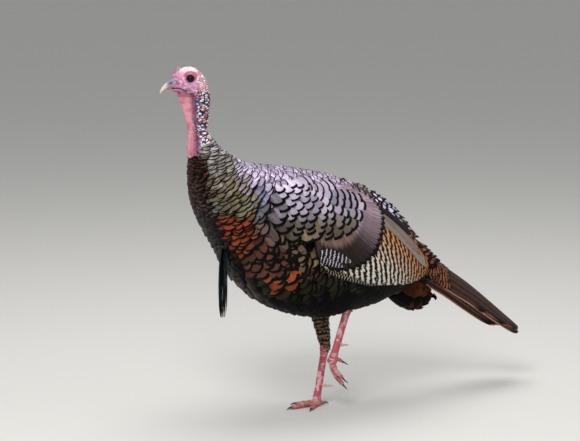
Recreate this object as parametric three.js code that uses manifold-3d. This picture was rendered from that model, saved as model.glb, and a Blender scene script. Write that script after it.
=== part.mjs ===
// Adult male wild turkey, life size, walking: the right foot stands and the left foot is lifted.
// Millimetres, +Z up.  The bird heads towards -X and its left side is -Y.
// The origin is the middle of the standing foot's sole, on the ground.
import * as THREE from 'three';
import { mergeVertices } from 'three/addons/utils/BufferGeometryUtils.js';
import Module from 'manifold-3d';

const wasm = await Module();
wasm.setup();

// ---------------------------------------------------------------- driving dimensions
const GAP = 0.3;                // clearance between neighbouring pieces
const MIDLINE_Y = -12;          // middle plane of the trunk; the standing foot is under it
const HEAD_TURN = 25;           // degrees the head looks towards the bird's right
const HEAD_ORIGIN = [-341.6, -1, 821.2];   // point of the head's middle plane between the eyes
const HEAD_SCALE = 0.965;       // of the profile sizes below
const EYE_RADIUS = 9.2;
const EYE_DEPTH = 11.8;         // from the head's middle plane to the middle of the eyeball
const ORBIT_RADIUS = 13;        // the hollow round each eye, cut by a ball this far from the middle
const ORBIT_DEPTH = 29;

// Neck and trunk sections, front to rear: the point on the back, the point on the throat,
// breast or belly straight across from it, and half the width there.
const TRUNK_SECTIONS = [
  [-307, 810, -333, 801, 17], [-299, 780, -339, 785, 20.5], [-301, 741, -343, 745, 20],
  [-306, 704, -345, 711, 19], [-302, 691, -346, 680, 26], [-283, 669, -347, 650, 40],
  [-250, 642, -347, 612, 60], [-205, 619, -341, 562, 89], [-150, 609, -326, 504, 115],
  [-95, 601, -299, 450, 130], [-45, 592, -271, 402, 139], [0, 582, -233, 335, 142],
  [45, 568, -166, 276, 141], [90, 551, -86, 241, 136], [130, 531, -6, 226, 127],
  [165, 509, 65, 234, 114], [195, 486, 125, 241, 99], [225, 456, 175, 254, 82],
  [255, 420, 215, 268, 65], [285, 387, 250, 284, 54], [315, 359, 285, 287, 46],
  [343, 337, 322, 288, 33],
];
const TRUNK_RINGS = 32;
const TRUNK_SIDES = 18;
const TRUNK_SQUARENESS = 2.2;

// Planes that part the trunk, each by its point on the back and its point below.
const CUT_NECK = [-304, 697, -347, 636];
const CUT_BREAST = [-205, 619, -341, 562];
const CUT_MIDDLE = [20, 580, -215, 335];
const CUT_RUMP = [186, 495, 108, 236];
const CUT_TAIL_COVERTS = [258, 418, 216, 262];
const CUT_BELLY = [-250, 402, 200, 372];

// The folded wings: a sleeve round the trunk, standing off it by these widths from section to
// section, trimmed to the wing's side outline.
const WING_FULLNESS = [
  0, 0, 0, 0, 0, 2, 4, 8, 11, 13, 14, 14, 14, 15, 19, 26, 32, 37, 38, 34, 28, 26,
];
const WING_OUTLINE = [
  [-178, 578], [-200, 528], [-186, 474], [-139, 440], [-92, 396], [-35, 360], [-2, 340],
  [66, 318], [141, 302], [215, 293], [258, 290], [277, 298], [276, 330], [254, 370], [208, 415],
  [143, 477], [70, 542], [0, 571], [-82, 590], [-140, 592],
];
// Lines, top to bottom and front to rear, that part the wing's coverts, secondaries and primaries.
const COVERTS_EDGE = [
  [150, 700], [141, 472], [138, 425], [112, 388], [56, 361], [2, 356], [-40, 352], [-90, 300],
];
const PRIMARIES_EDGE = [[-120, 380], [2, 364], [56, 352], [150, 318], [215, 299], [320, 284]];

// The folded tail is a steep roof: its ridge, its lower edge and half its width, root to tip.
const TAIL_SECTIONS = [
  [285, 383, 262, 340, 46], [335, 340, 306, 294, 58], [385, 305, 356, 258, 62],
  [434, 271, 407, 227, 63], [490, 227, 465, 187, 63], [540, 186, 519, 152, 60],
  [573, 159, 557, 133, 50], [594, 141, 584, 125, 32],
];
const TAIL_SQUARENESS = 1.55;
const TAIL_THICKNESS = 24;
const TAIL_SIDE_WALL = 7;
const UNDERTAIL_SECTIONS = [
  [215, 335, 180, 262, 46], [250, 322, 213, 237, 52], [280, 305, 245, 220, 50],
  [302, 287, 274, 213, 43], [318, 270, 300, 220, 30], [324, 256, 314, 234, 13],
];

// The head, in its own frame: forward of the eyes, above the eyes.  Front to rear:
// top of the profile, underside of the profile, half the width.
const HEAD_SECTIONS = [
  [46, -3, 46, -23, 7], [40, 6, 38, -31, 10.5], [31, 16, 30, -34.5, 14.5], [18, 24.5, 18, -36, 18],
  [4, 26.5, 4, -37, 20], [-11, 24, -10, -37, 20.5], [-22, 14.5, -21, -36, 19.5],
  [-31, 5, -28, -35, 17], [-38, -6, -33, -33, 13], [-41, -15, -36, -29, 7],
];
const UPPER_BILL_SECTIONS = [
  [40, 4, 36, -24.2, 9.5], [48, -2, 46, -24.4, 8.6], [54, -8.5, 54, -25.2, 7.4],
  [62, -15.5, 61, -28.2, 5.6], [69, -23.5, 67, -32.5, 3.6], [73, -33, 71, -37, 1.5],
  [73.3, -36.6, 72.3, -38, 0.5],
];
const LOWER_BILL_SECTIONS = [
  [18, -26.2, 20, -34.8, 9.6], [31, -25, 32, -34.4, 9.2], [43, -25.2, 43, -32.4, 7.6],
  [52, -26.6, 51, -31, 5.4], [59.5, -29.6, 58.5, -31.4, 2.6],
];
const SNOOD_SECTIONS = [
  [22, 13, 44, 2, 9.5], [23, 20, 43, 9, 8.5], [25, 25, 39, 17, 7], [27, 29, 34, 25, 3.5],
];
// The dewlap's front edge and rear edge, chin to neck base, each as x, y, z, then half its thickness.
const DEWLAP_SECTIONS = [
  [-370, 13, 790, -334, 2, 790, 9], [-363, 9, 762, -328, -6, 766, 8], [-356, 0, 733, -332, -10, 737, 7.5],
  [-353, -7, 706, -338, -12, 709, 7], [-355, -11, 682, -340, -12, 686, 6.5],
  [-357, -12, 657, -340, -12, 660, 6], [-353, -12, 636, -343, -12, 638, 4],
];
const BEARD_Y = -36;            // the beard hangs a little to the left of the breast's middle
const BEARD_SECTIONS = [
  [-254, 456, -268, 462, 6], [-261, 438, -276, 443, 8], [-266, 400, -285, 402, 9.5],
  [-267, 345, -288, 345, 10.5], [-268, 290, -287, 290, 9.5], [-272, 262, -284, 261, 5],
  [-275, 256, -281, 255, 2],
];

const LEFT = -1;
const RIGHT = 1;

// Legs, each as x, y, z of the thigh's top, the hock and the joint of the toes.
const RIGHT_LEG = {
  side: RIGHT,
  lifted: false,
  thighTop: [2, 22, 330],
  hock: [27, 4, 148],
  joint: [0, 0, 13],
  thighRadius: 36,
};
const LEFT_LEG = {
  side: LEFT,
  lifted: true,
  thighTop: [18, -72, 345],
  hock: [53, -62, 257],
  joint: [10, -58, 124],
  thighRadius: 46,
};
const THIGH_DEPTH = 1.15;       // how much deeper the thigh is front to back than across
const HOCK_FEATHER_RADIUS = 13;
const TARSUS_RADIUS = 7.2;
const TARSUS_DEPTH = 1.28;      // the same for the shank
const HOCK_SWELLING = { size: 0.5, reach: 0.13 };
const ANKLE_SWELLING = { size: 0.28, reach: 0.12 };
const BALL_RADIUS = 12.5;       // of the ball of the foot
const BALL_PROPORTIONS = [1.05, 0.92, 0.8];
const BALL_DROP = 5;            // how far it sinks under the joint when it carries weight
const SPUR_PLACE = 0.7;         // share of the way from the hock to the toes' joint
const SPUR_REACH = [36, -6, -7];   // from its root to its tip: back, outward and up
const SPUR_SAG = 1.5;
const SPUR_ROOT_RADIUS = 5;
const SPUR_TIP_RADIUS = 0.9;

// Toes: length without the claw, radius at the root, turn from straight ahead, outwards positive.
const TOES = {
  inner: { length: 46, radius: 6.6, turn: -44 },
  middle: { length: 69, radius: 7.2, turn: 0 },
  outer: { length: 49, radius: 6.4, turn: 38 },
  hallux: { length: 23, radius: 5.4, turn: 172 },
};
// Heights of a standing toe's axis at its root, halfway and at its tip.
const TOE_HEIGHTS = [10, 7.6, 4];
const HALLUX_HEIGHTS = [14, 8.5, 4];
const TOE_START = 4;            // a toe's root, ahead of the joint
const TOE_TAPER = 0.3;
const TOE_PADS = { count: 3, size: 0.07 };
// Directions of a lifted toe's root half and tip half, and where its sole faces.
const DROOP = { first: [0.22, -1], last: [0.62, -0.8] };
const HALLUX_DROOP = { first: [0.9, -0.15], last: [0.86, -0.5] };
const LIFTED_SPREAD = 0.55;     // share of the toes' spread that is left when the foot is lifted
const LIFTED_SPREAD_AT_TIP = 0.8;
const LIFTED_HALLUX_ROOT = [4, 0, 4];
const LIFTED_SOLE = [0.75, 0, -0.5];
const CLAW_LENGTH = 17;
const CLAW_ROOT_RADIUS = 3.1;
const CLAW_TIP_RADIUS = 0.6;
const CLAW_INSET = 2;           // how deep a claw's root sits in its toe
const CLAW_BEND = 0.55;         // share of a claw's length before it turns down
const STANDING_CLAW = { arch: 0.5, hook: 3.7 };
const LIFTED_CLAW = { arch: -1, hook: 6 };

// ---------------------------------------------------------------- materials
const finish = (color, roughness, metalness = 0) => (
  new THREE.MeshStandardMaterial({ color, roughness, metalness })
);
const FINISHES = {
  back: () => finish(0x8f7f84, 0.45, 0.25),
  breast: () => finish(0x7a4426, 0.42, 0.3),
  belly: () => finish(0x241a14, 0.6),
  skin: () => finish(0xc98a92, 0.55),
  bareNeck: () => finish(0xa9707c, 0.55),
  bill: () => finish(0xd8c3b4, 0.4),
  eye: () => finish(0x120c0a, 0.08),
  wing: () => finish(0x8c7566, 0.5, 0.15),
  tail: () => finish(0x6e3d24, 0.55, 0.1),
  beard: () => finish(0x1b1411, 0.65),
  thigh: () => finish(0x5f4c3a, 0.75),
  leg: () => finish(0xb06a66, 0.5),
  horn: () => finish(0x3a2c28, 0.35),
};

// ---------------------------------------------------------------- shape helpers
const UP = new THREE.Vector3(0, 0, 1);
const SIDEWAYS = new THREE.Vector3(0, 1, 0);
const headAngle = THREE.MathUtils.degToRad(HEAD_TURN);
const HEAD_FORWARD = new THREE.Vector3(-Math.cos(headAngle), Math.sin(headAngle), 0);
const HEAD_SIDEWAYS = new THREE.Vector3(Math.sin(headAngle), Math.cos(headAngle), 0);
const point = (xyz) => new THREE.Vector3(...xyz);
const trunkPoint = (x, z) => new THREE.Vector3(x, MIDLINE_Y, z);
const beardPoint = (x, z) => new THREE.Vector3(x, BEARD_Y, z);
const headPoint = (forward, rise, side = 0) => point(HEAD_ORIGIN)
  .addScaledVector(HEAD_FORWARD, forward * HEAD_SCALE)
  .addScaledVector(UP, rise * HEAD_SCALE)
  .addScaledVector(HEAD_SIDEWAYS, side);

// Stations of a loft from rows of [top x, top z, low x, low z, half width].
const stationsOf = (rows, place) => rows.map(([x1, z1, x2, z2, half]) => (
  { top: place(x1, z1), low: place(x2, z2), half }));
const THINNEST = 0.3;           // least half width of a loft
const curveOf = (points) => new THREE.CatmullRomCurve3(points, false, 'catmullrom', 0.5);

// A superellipse: 2 is an ellipse, more is squarer, less is closer to a rhombus.
function superellipse(angle, squareness) {
  const along = Math.cos(angle);
  const across = Math.sin(angle);
  const size = (Math.abs(along) ** squareness + Math.abs(across) ** squareness) ** (-1 / squareness);
  return [along * size, across * size];
}

// One closed body from rings: a sphere's grid of vertices is moved ring by ring.
// ringPoint(fraction along, angle round) places a vertex; both ends close on the ring's middle.
function closedGrid(rings, sides, ringPoint) {
  const geometry = new THREE.SphereGeometry(1, sides, rings);
  const position = geometry.attributes.position;
  const middle = (along) => ringPoint(along, 0).add(ringPoint(along, Math.PI)).multiplyScalar(0.5);
  for (let ring = 0; ring <= rings; ring += 1) {
    const along = THREE.MathUtils.clamp((ring - 1) / (rings - 2), 0, 1);
    for (let side = 0; side <= sides; side += 1) {
      const angle = (side % sides) * 2 * Math.PI / sides;
      const pole = ring === 0 || ring === rings;
      const vertex = pole ? middle(along) : ringPoint(along, angle);
      position.setXYZ(ring * (sides + 1) + side, vertex.x, vertex.y, vertex.z);
    }
  }
  geometry.deleteAttribute('normal');
  geometry.deleteAttribute('uv');
  return outward(mergeVertices(geometry, 1e-3));
}

// Turns a closed geometry's faces outward.
function outward(geometry) {
  const { array } = geometry.attributes.position;
  const faces = geometry.index.array;
  const a = new THREE.Vector3();
  const b = new THREE.Vector3();
  const c = new THREE.Vector3();
  let volume = 0;
  for (let i = 0; i < faces.length; i += 3) {
    a.fromArray(array, faces[i] * 3);
    b.fromArray(array, faces[i + 1] * 3);
    c.fromArray(array, faces[i + 2] * 3);
    volume += a.dot(b.cross(c));
  }
  if (volume < 0) {
    for (let i = 0; i < faces.length; i += 3) {
      [faces[i + 1], faces[i + 2]] = [faces[i + 2], faces[i + 1]];
    }
  }
  return geometry;
}

// A loft through stations; grow widens it all round, ends lengthens it at both ends, and
// across(along) is its sideways direction.
function loft(stations, options = {}) {
  const { rings = 16, sides = 16, squareness = 2, grow = 0, ends = grow } = options;
  const across = options.across ?? (() => SIDEWAYS);
  const topLine = curveOf(stations.map((station) => station.top));
  const lowLine = curveOf(stations.map((station) => station.low));
  const halfLine = curveOf(stations.map((station) => new THREE.Vector3(station.half, 0, 0)));
  const ringPoint = (along, angle) => {
    const top = topLine.getPoint(along);
    const low = lowLine.getPoint(along);
    const [a, b] = superellipse(angle, squareness);
    const spread = top.clone().sub(low).multiplyScalar(0.5);
    const reach = spread.length();
    const middle = top.add(low).multiplyScalar(0.5);
    const overrun = (along === 0 ? -ends : 0) + (along === 1 ? ends : 0);
    const travel = topLine.getTangent(along).add(lowLine.getTangent(along)).normalize();
    return middle
      .addScaledVector(spread, a * (reach + grow) / reach)
      .addScaledVector(across(along), b * (Math.max(halfLine.getPoint(along).x, THINNEST) + grow))
      .addScaledVector(travel, overrun);
  };
  return closedGrid(rings, sides, ringPoint);
}

// A round-sectioned horn, toe or shank along a curve; radiusAt and flattening shape its section.
function limb(path, radiusAt, options = {}) {
  const { rings = 10, sides = 10, depth = 1, across = SIDEWAYS, grow = 0 } = options;
  const ringPoint = (along, angle) => {
    const travel = path.getTangent(along);
    const side = across.clone().addScaledVector(travel, -across.dot(travel)).normalize();
    const front = travel.clone().cross(side);
    const radius = radiusAt(along) + grow;
    const overrun = (along === 0 ? -grow : 0) + (along === 1 ? grow : 0);
    return path.getPoint(along)
      .addScaledVector(front, Math.cos(angle) * radius * depth)
      .addScaledVector(side, Math.sin(angle) * radius)
      .addScaledVector(travel, overrun);
  };
  return closedGrid(rings, sides, ringPoint);
}

// ---------------------------------------------------------------- solids
function solid(geometry) {
  const bare = geometry.clone();
  bare.deleteAttribute('normal');
  bare.deleteAttribute('uv');
  const merged = mergeVertices(bare, 1e-3);
  return new wasm.Manifold(new wasm.Mesh({
    numProp: 3,
    vertProperties: new Float32Array(merged.attributes.position.array),
    triVerts: new Uint32Array(merged.index.array),
  }));
}

function geometryOf(manifold) {
  const mesh = manifold.getMesh();
  const geometry = new THREE.BufferGeometry();
  geometry.setAttribute('position', new THREE.BufferAttribute(new Float32Array(mesh.vertProperties), 3));
  geometry.setIndex(new THREE.BufferAttribute(new Uint32Array(mesh.triVerts), 1));
  return geometry;
}

// The biggest separate piece of a solid.
function largest(manifold) {
  const pieces = manifold.decompose();
  return pieces.reduce((best, piece) => (piece.volume() > best.volume() ? piece : best));
}

const REACH = 3000;
// All of space ahead of (side -1) or behind (side 1) a plane through two points of the middle plane.
function halfSpace([x1, z1, x2, z2], side) {
  const box = new THREE.BoxGeometry(REACH, REACH, REACH);
  const fall = new THREE.Vector3(x2 - x1, 0, z2 - z1).normalize();
  const behind = new THREE.Vector3(-fall.z, 0, fall.x);
  const shift = side * (REACH / 2 + GAP / 2);
  const basis = new THREE.Matrix4().makeBasis(behind, SIDEWAYS.clone(), behind.clone().cross(SIDEWAYS));
  basis.setPosition(trunkPoint(x1, z1).addScaledVector(behind, shift));
  return solid(box.applyMatrix4(basis));
}
const AHEAD = -1;
const BEHIND = 1;

// A prism through the whole bird from side to side, from an outline in x and z.
function sidePrism(outline, { smooth = false, shift = [0, 0] } = {}) {
  const points = outline.map(([x, z]) => new THREE.Vector2(x + shift[0], z + shift[1]));
  const closed = smooth
    ? new THREE.SplineCurve([...points, points[0]]).getPoints(outline.length * 2).slice(0, -1)
    : points;
  const across = { depth: REACH, bevelEnabled: false, curveSegments: 1 };
  const prism = new THREE.ExtrudeGeometry(new THREE.Shape(closed), across);
  prism.rotateX(Math.PI / 2);
  prism.translate(0, REACH / 2, 0);
  return solid(prism);
}

// One side of the bird, from its middle plane outwards.
function oneSide(side) {
  const box = new THREE.BoxGeometry(REACH, REACH, REACH);
  box.translate(0, MIDLINE_Y + side * (REACH / 2 + GAP), 0);
  return solid(box);
}

// ---------------------------------------------------------------- trunk, wings and tail
const trunkShape = (grow = 0, widen = null) => {
  const rows = widen
    ? TRUNK_SECTIONS.map((row, i) => [...row.slice(0, 4), row[4] + widen[i]])
    : TRUNK_SECTIONS;
  const options = { rings: TRUNK_RINGS, sides: TRUNK_SIDES, squareness: TRUNK_SQUARENESS, grow };
  return solid(loft(stationsOf(rows, trunkPoint), options));
};

const trunk = trunkShape();
const trunkClear = trunkShape(GAP);

const HEAD_SQUARENESS = 2.1;
const headLoft = (rows, rings, sides, grow) => solid(loft(stationsOf(rows, headPoint), {
  rings, sides, grow, squareness: HEAD_SQUARENESS, across: () => HEAD_SIDEWAYS,
}));
const headShape = (grow) => headLoft(HEAD_SECTIONS, 12, 12, grow);

const legsClear = () => [LEFT_LEG, RIGHT_LEG]
  .map((leg) => thigh(leg, GAP).add(shank(leg, GAP)))
  .reduce((all, leg) => all.add(leg));

function trunkPieces() {
  const below = trunk.intersect(halfSpace(CUT_NECK, BEHIND)).subtract(legsClear());
  const middle = below.intersect(halfSpace(CUT_MIDDLE, BEHIND)).intersect(halfSpace(CUT_RUMP, AHEAD));
  return {
    neck: trunk.intersect(halfSpace(CUT_NECK, AHEAD)).subtract(headShape(GAP)),
    neck_base: below.intersect(halfSpace(CUT_BREAST, AHEAD)),
    breast: below.intersect(halfSpace(CUT_BREAST, BEHIND)).intersect(halfSpace(CUT_MIDDLE, AHEAD)),
    back: middle.intersect(halfSpace(CUT_BELLY, AHEAD)),
    belly: middle.intersect(halfSpace(CUT_BELLY, BEHIND)),
    rump: below.intersect(halfSpace(CUT_RUMP, BEHIND)).intersect(halfSpace(CUT_TAIL_COVERTS, AHEAD)),
    tail_coverts_upper: below.intersect(halfSpace(CUT_TAIL_COVERTS, BEHIND)),
  };
}

function wingPieces(side) {
  const wing = trunkShape(0, WING_FULLNESS)
    .intersect(oneSide(side))
    .intersect(sidePrism(WING_OUTLINE, { smooth: true }))
    .subtract(trunkClear)
    .subtract(tailRoof(GAP))
    .subtract(undertail(GAP));
  const half = GAP / 2;
  const rear = [...COVERTS_EDGE, [-90, -REACH / 3], [REACH / 3, -REACH / 3], [REACH / 3, 700]];
  const front = [...COVERTS_EDGE, [-REACH / 3, 300], [-REACH / 3, 700]];
  const lower = [...PRIMARIES_EDGE, [REACH / 3, -REACH / 3], [-REACH / 3, -REACH / 3]];
  const upper = [...PRIMARIES_EDGE, [REACH / 3, REACH / 3], [-REACH / 3, REACH / 3]];
  const behindCoverts = wing.intersect(sidePrism(rear, { shift: [half, -half] }));
  return {
    coverts: largest(wing.intersect(sidePrism(front, { shift: [-half, half] }))),
    secondaries: largest(behindCoverts.intersect(sidePrism(upper, { shift: [0, half] }))),
    primaries: largest(behindCoverts.intersect(sidePrism(lower, { shift: [0, -half] }))),
  };
}

// A rhombus whose widest line is the tail's lower edge, set lower by drop and made narrower.
function tailStations(drop, narrow) {
  return TAIL_SECTIONS.map(([x1, z1, x2, z2, half]) => {
    const top = trunkPoint(x1, z1);
    const edge = trunkPoint(x2, z2);
    const down = edge.clone().sub(top);
    const fall = down.clone().normalize().multiplyScalar(drop);
    return { top: top.add(fall), low: edge.add(down).add(fall), half: half - narrow };
  });
}

// The tail's roof: that rhombus less the same one set lower, narrower and longer.
function tailRoof(grow = 0) {
  const options = { rings: 9, sides: 14, squareness: TAIL_SQUARENESS };
  const outer = loft(tailStations(0, 0), { ...options, grow });
  const hollow = { ...options, grow: -grow, ends: TAIL_THICKNESS };
  const inner = loft(tailStations(TAIL_THICKNESS, TAIL_SIDE_WALL), hollow);
  return solid(outer).subtract(solid(inner));
}

const undertailOptions = { rings: 9, sides: 14 };
const undertailStations = stationsOf(UNDERTAIL_SECTIONS, trunkPoint);
const undertail = (grow) => solid(loft(undertailStations, { ...undertailOptions, grow }));

function tailPieces() {
  return {
    tail: largest(tailRoof().subtract(trunkClear)),
    tail_coverts_lower: largest(undertail(0).subtract(trunkClear).subtract(tailRoof(GAP))),
  };
}

// ---------------------------------------------------------------- head
function headPieces() {
  const upperBill = (grow) => headLoft(UPPER_BILL_SECTIONS, 9, 10, grow);
  const lowerBill = (grow) => headLoft(LOWER_BILL_SECTIONS, 7, 10, grow);
  const snood = (grow) => headLoft(SNOOD_SECTIONS, 6, 10, grow);
  const ball = (side, depth, radius) => {
    const place = headPoint(0, 0, side * depth);
    return solid(new THREE.SphereGeometry(radius, 10, 6).translate(place.x, place.y, place.z));
  };
  const eye = (side) => ball(side, EYE_DEPTH, EYE_RADIUS);
  const socket = (side) => (
    ball(side, EYE_DEPTH, EYE_RADIUS + GAP).add(ball(side, ORBIT_DEPTH, ORBIT_RADIUS))
  );
  const dewlapStations = DEWLAP_SECTIONS.map(([x1, y1, z1, x2, y2, z2, half]) => (
    { top: point([x1, y1, z1]), low: point([x2, y2, z2]), half }));
  const turned = (along) => HEAD_SIDEWAYS.clone().lerp(SIDEWAYS, along).normalize();
  const dewlap = solid(loft(dewlapStations, { rings: 9, sides: 8, across: turned }));
  const head = headShape(0)
    .subtract(upperBill(GAP)).subtract(lowerBill(GAP)).subtract(snood(GAP))
    .subtract(socket(LEFT)).subtract(socket(RIGHT));
  return {
    head: largest(head),
    bill_upper: upperBill(0),
    bill_lower: largest(lowerBill(0).subtract(upperBill(GAP))),
    snood: snood(0).subtract(upperBill(GAP)),
    eye_left: eye(LEFT),
    eye_right: eye(RIGHT),
    dewlap: largest(dewlap.subtract(headShape(GAP)).subtract(trunkClear).subtract(lowerBill(GAP))),
  };
}

function beardPiece() {
  const tuft = solid(loft(stationsOf(BEARD_SECTIONS, beardPoint), { rings: 7, sides: 7 }));
  return largest(tuft.subtract(trunkClear));
}

// ---------------------------------------------------------------- legs and feet
const ground = () => {
  const box = new THREE.BoxGeometry(REACH, REACH, REACH);
  box.translate(0, 0, REACH / 2);
  return solid(box);
};
const path = (...points) => new THREE.CatmullRomCurve3(points.map(point));

// The feathered thigh, let into the belly, narrows to the hock.
function thigh({ thighTop, hock, thighRadius }, grow = 0) {
  const radiusAt = (along) => THREE.MathUtils.lerp(thighRadius, HOCK_FEATHER_RADIUS, along ** 0.8);
  return solid(limb(path(thighTop, hock), radiusAt, { rings: 6, sides: 10, depth: THIGH_DEPTH, grow }));
}

// The shank: thick at the hock, slim in the middle, thick again at the toes' joint.
function tarsus(hock, joint, grow = 0) {
  const swelling = ({ size, reach }, distance) => size * Math.exp(-((distance / reach) ** 2));
  const radiusAt = (along) => TARSUS_RADIUS
    * (1 + swelling(HOCK_SWELLING, along) + swelling(ANKLE_SWELLING, 1 - along));
  return solid(limb(path(hock, joint), radiusAt, { rings: 9, sides: 8, depth: TARSUS_DEPTH, grow }));
}

// Rests a toe's, claw's or pad's lower side on the ground as a small flat.
const flattened = (manifold) => manifold.intersect(ground());

// The spur: a bent cone from the back of the shank.
function spur({ hock, joint, side }) {
  const [back, outward, up] = SPUR_REACH;
  const base = point(hock).lerp(point(joint), SPUR_PLACE);
  const tip = base.clone().add(new THREE.Vector3(back, side * outward, up));
  const bend = base.clone().lerp(tip, 0.5).addScaledVector(UP, -SPUR_SAG);
  const radiusAt = (along) => THREE.MathUtils.lerp(SPUR_ROOT_RADIUS, SPUR_TIP_RADIUS, along ** 1.2);
  return solid(limb(new THREE.CatmullRomCurve3([base, bend, tip]), radiusAt, { rings: 5, sides: 6 }));
}

// A standing toe lies along the ground; a lifted one droops backwards from the joint.
function toePath(joint, toe, side, lifted) {
  const turn = THREE.MathUtils.degToRad(toe.turn);
  const isHallux = Math.abs(toe.turn) > 90;
  if (!lifted) {
    const heading = new THREE.Vector3(-Math.cos(turn), side * Math.sin(turn), 0);
    const heights = isHallux ? HALLUX_HEIGHTS : TOE_HEIGHTS;
    const places = [TOE_START, toe.length / 2, toe.length];
    return new THREE.CatmullRomCurve3(places.map((place, i) => (
      new THREE.Vector3(joint[0], joint[1], heights[i]).addScaledVector(heading, place))));
  }
  const spread = side * Math.sin(turn) * LIFTED_SPREAD;
  const droop = isHallux ? HALLUX_DROOP : DROOP;
  const direction = ([x, z], y) => new THREE.Vector3(x, y, z).normalize();
  const start = point(joint).add(point(isHallux ? LIFTED_HALLUX_ROOT : [0, 0, 0]));
  const middle = start.clone().addScaledVector(direction(droop.first, spread), toe.length / 2);
  const last = direction(droop.last, spread * LIFTED_SPREAD_AT_TIP);
  const tip = middle.clone().addScaledVector(last, toe.length / 2);
  return new THREE.CatmullRomCurve3([start, middle, tip]);
}

// A claw carries on from its toe, arches a little and hooks towards the sole.
function clawPath(toeCurve, down, lifted) {
  const travel = toeCurve.getTangent(1);
  const root = toeCurve.getPoint(1).addScaledVector(travel, -CLAW_INSET);
  if (!lifted) travel.setZ(0).normalize();
  const { arch, hook } = lifted ? LIFTED_CLAW : STANDING_CLAW;
  const bend = root.clone()
    .addScaledVector(travel, CLAW_LENGTH * CLAW_BEND)
    .addScaledVector(down, -arch);
  const tip = root.clone().addScaledVector(travel, CLAW_LENGTH).addScaledVector(down, hook);
  return new THREE.CatmullRomCurve3([root, bend, tip]);
}

// Toes and claws; a toe is cut clear of the shank and of the toes before it.
function footPieces({ side, joint, lifted }, shankClear) {
  const pieces = {};
  const taken = [shankClear];
  const down = lifted ? point(LIFTED_SOLE).normalize() : UP.clone().negate();
  const settle = (manifold) => (lifted ? manifold : flattened(manifold));
  for (const [name, toe] of Object.entries(TOES)) {
    const curve = toePath(joint, toe, side, lifted);
    const across = curve.getTangent(1).cross(down).normalize();
    const pads = (along) => 1 + TOE_PADS.size * Math.cos(along * TOE_PADS.count * 2 * Math.PI);
    const toeRadius = (along) => toe.radius * (1 - TOE_TAPER * along) * pads(along);
    const clawRadius = (along) => THREE.MathUtils.lerp(CLAW_ROOT_RADIUS, CLAW_TIP_RADIUS, along);
    const clawCurve = clawPath(curve, down, lifted);
    const full = (grow) => solid(limb(curve, toeRadius, { rings: 6, sides: 6, across, grow }));
    const claw = (grow) => solid(limb(clawCurve, clawRadius, { rings: 5, sides: 5, across, grow }));
    const flesh = taken.reduce((rest, other) => rest.subtract(other), full(0)).subtract(claw(GAP));
    pieces[`toe_${name}`] = largest(settle(flesh));
    pieces[`claw_${name}`] = settle(claw(0));
    taken.push(full(GAP));
  }
  return pieces;
}

// The shank with the ball of the foot under its lower end.
function shank({ hock, joint, lifted }, grow = 0) {
  const [x, y, z] = joint;
  const ball = new THREE.SphereGeometry(BALL_RADIUS + grow, 10, 6).scale(...BALL_PROPORTIONS);
  ball.translate(x, y, z - (lifted ? 0 : BALL_DROP));
  return tarsus(hock, joint, grow).add(solid(ball));
}

function legPieces(leg) {
  const clear = shank(leg, GAP);
  return {
    thigh: largest(thigh(leg).subtract(clear)),
    tarsus: leg.lifted ? shank(leg) : flattened(shank(leg)),
    spur: largest(spur(leg).subtract(clear)),
    ...footPieces(leg, clear),
  };
}

// ---------------------------------------------------------------- the bird
const turkey = new THREE.Group();
turkey.name = 'wild_turkey';

function addPiece(name, manifold, material) {
  const mesh = new THREE.Mesh(geometryOf(manifold), material);
  mesh.name = name;
  turkey.add(mesh);
}

const TRUNK_FINISH = {
  neck: 'bareNeck', neck_base: 'back', breast: 'breast', back: 'back', belly: 'belly', rump: 'back',
  tail_coverts_upper: 'tail',
};
for (const [name, piece] of Object.entries(trunkPieces())) {
  addPiece(name, piece, FINISHES[TRUNK_FINISH[name]]());
}

const HEAD_FINISH = {
  head: 'skin', bill_upper: 'bill', bill_lower: 'bill', snood: 'skin', eye_left: 'eye', eye_right: 'eye',
  dewlap: 'skin',
};
for (const [name, piece] of Object.entries(headPieces())) {
  addPiece(name, piece, FINISHES[HEAD_FINISH[name]]());
}

for (const [name, piece] of Object.entries(tailPieces())) addPiece(name, piece, FINISHES.tail());
addPiece('beard', beardPiece(), FINISHES.beard());

for (const side of [LEFT, RIGHT]) {
  const suffix = side === LEFT ? 'left' : 'right';
  for (const [name, piece] of Object.entries(wingPieces(side))) {
    addPiece(`wing_${name}_${suffix}`, piece, FINISHES.wing());
  }
}

function legFinish(name) {
  if (name === 'thigh') return FINISHES.thigh();
  return name.startsWith('claw') || name === 'spur' ? FINISHES.horn() : FINISHES.leg();
}
const legs = { left: legPieces(LEFT_LEG), right: legPieces(RIGHT_LEG) };
for (const [suffix, pieces] of Object.entries(legs)) {
  for (const [name, piece] of Object.entries(pieces)) {
    addPiece(`${name}_${suffix}`, piece, legFinish(name));
  }
}

export default turkey;
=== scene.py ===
# %% [markdown]
# # A life-size model of a walking wild turkey
# The solids of the bird come in first as a fixed frame. Skin, feathers, bill, eyes and claws are
# then built round them in the same place and size, so that what is seen and what collides agree.

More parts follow.
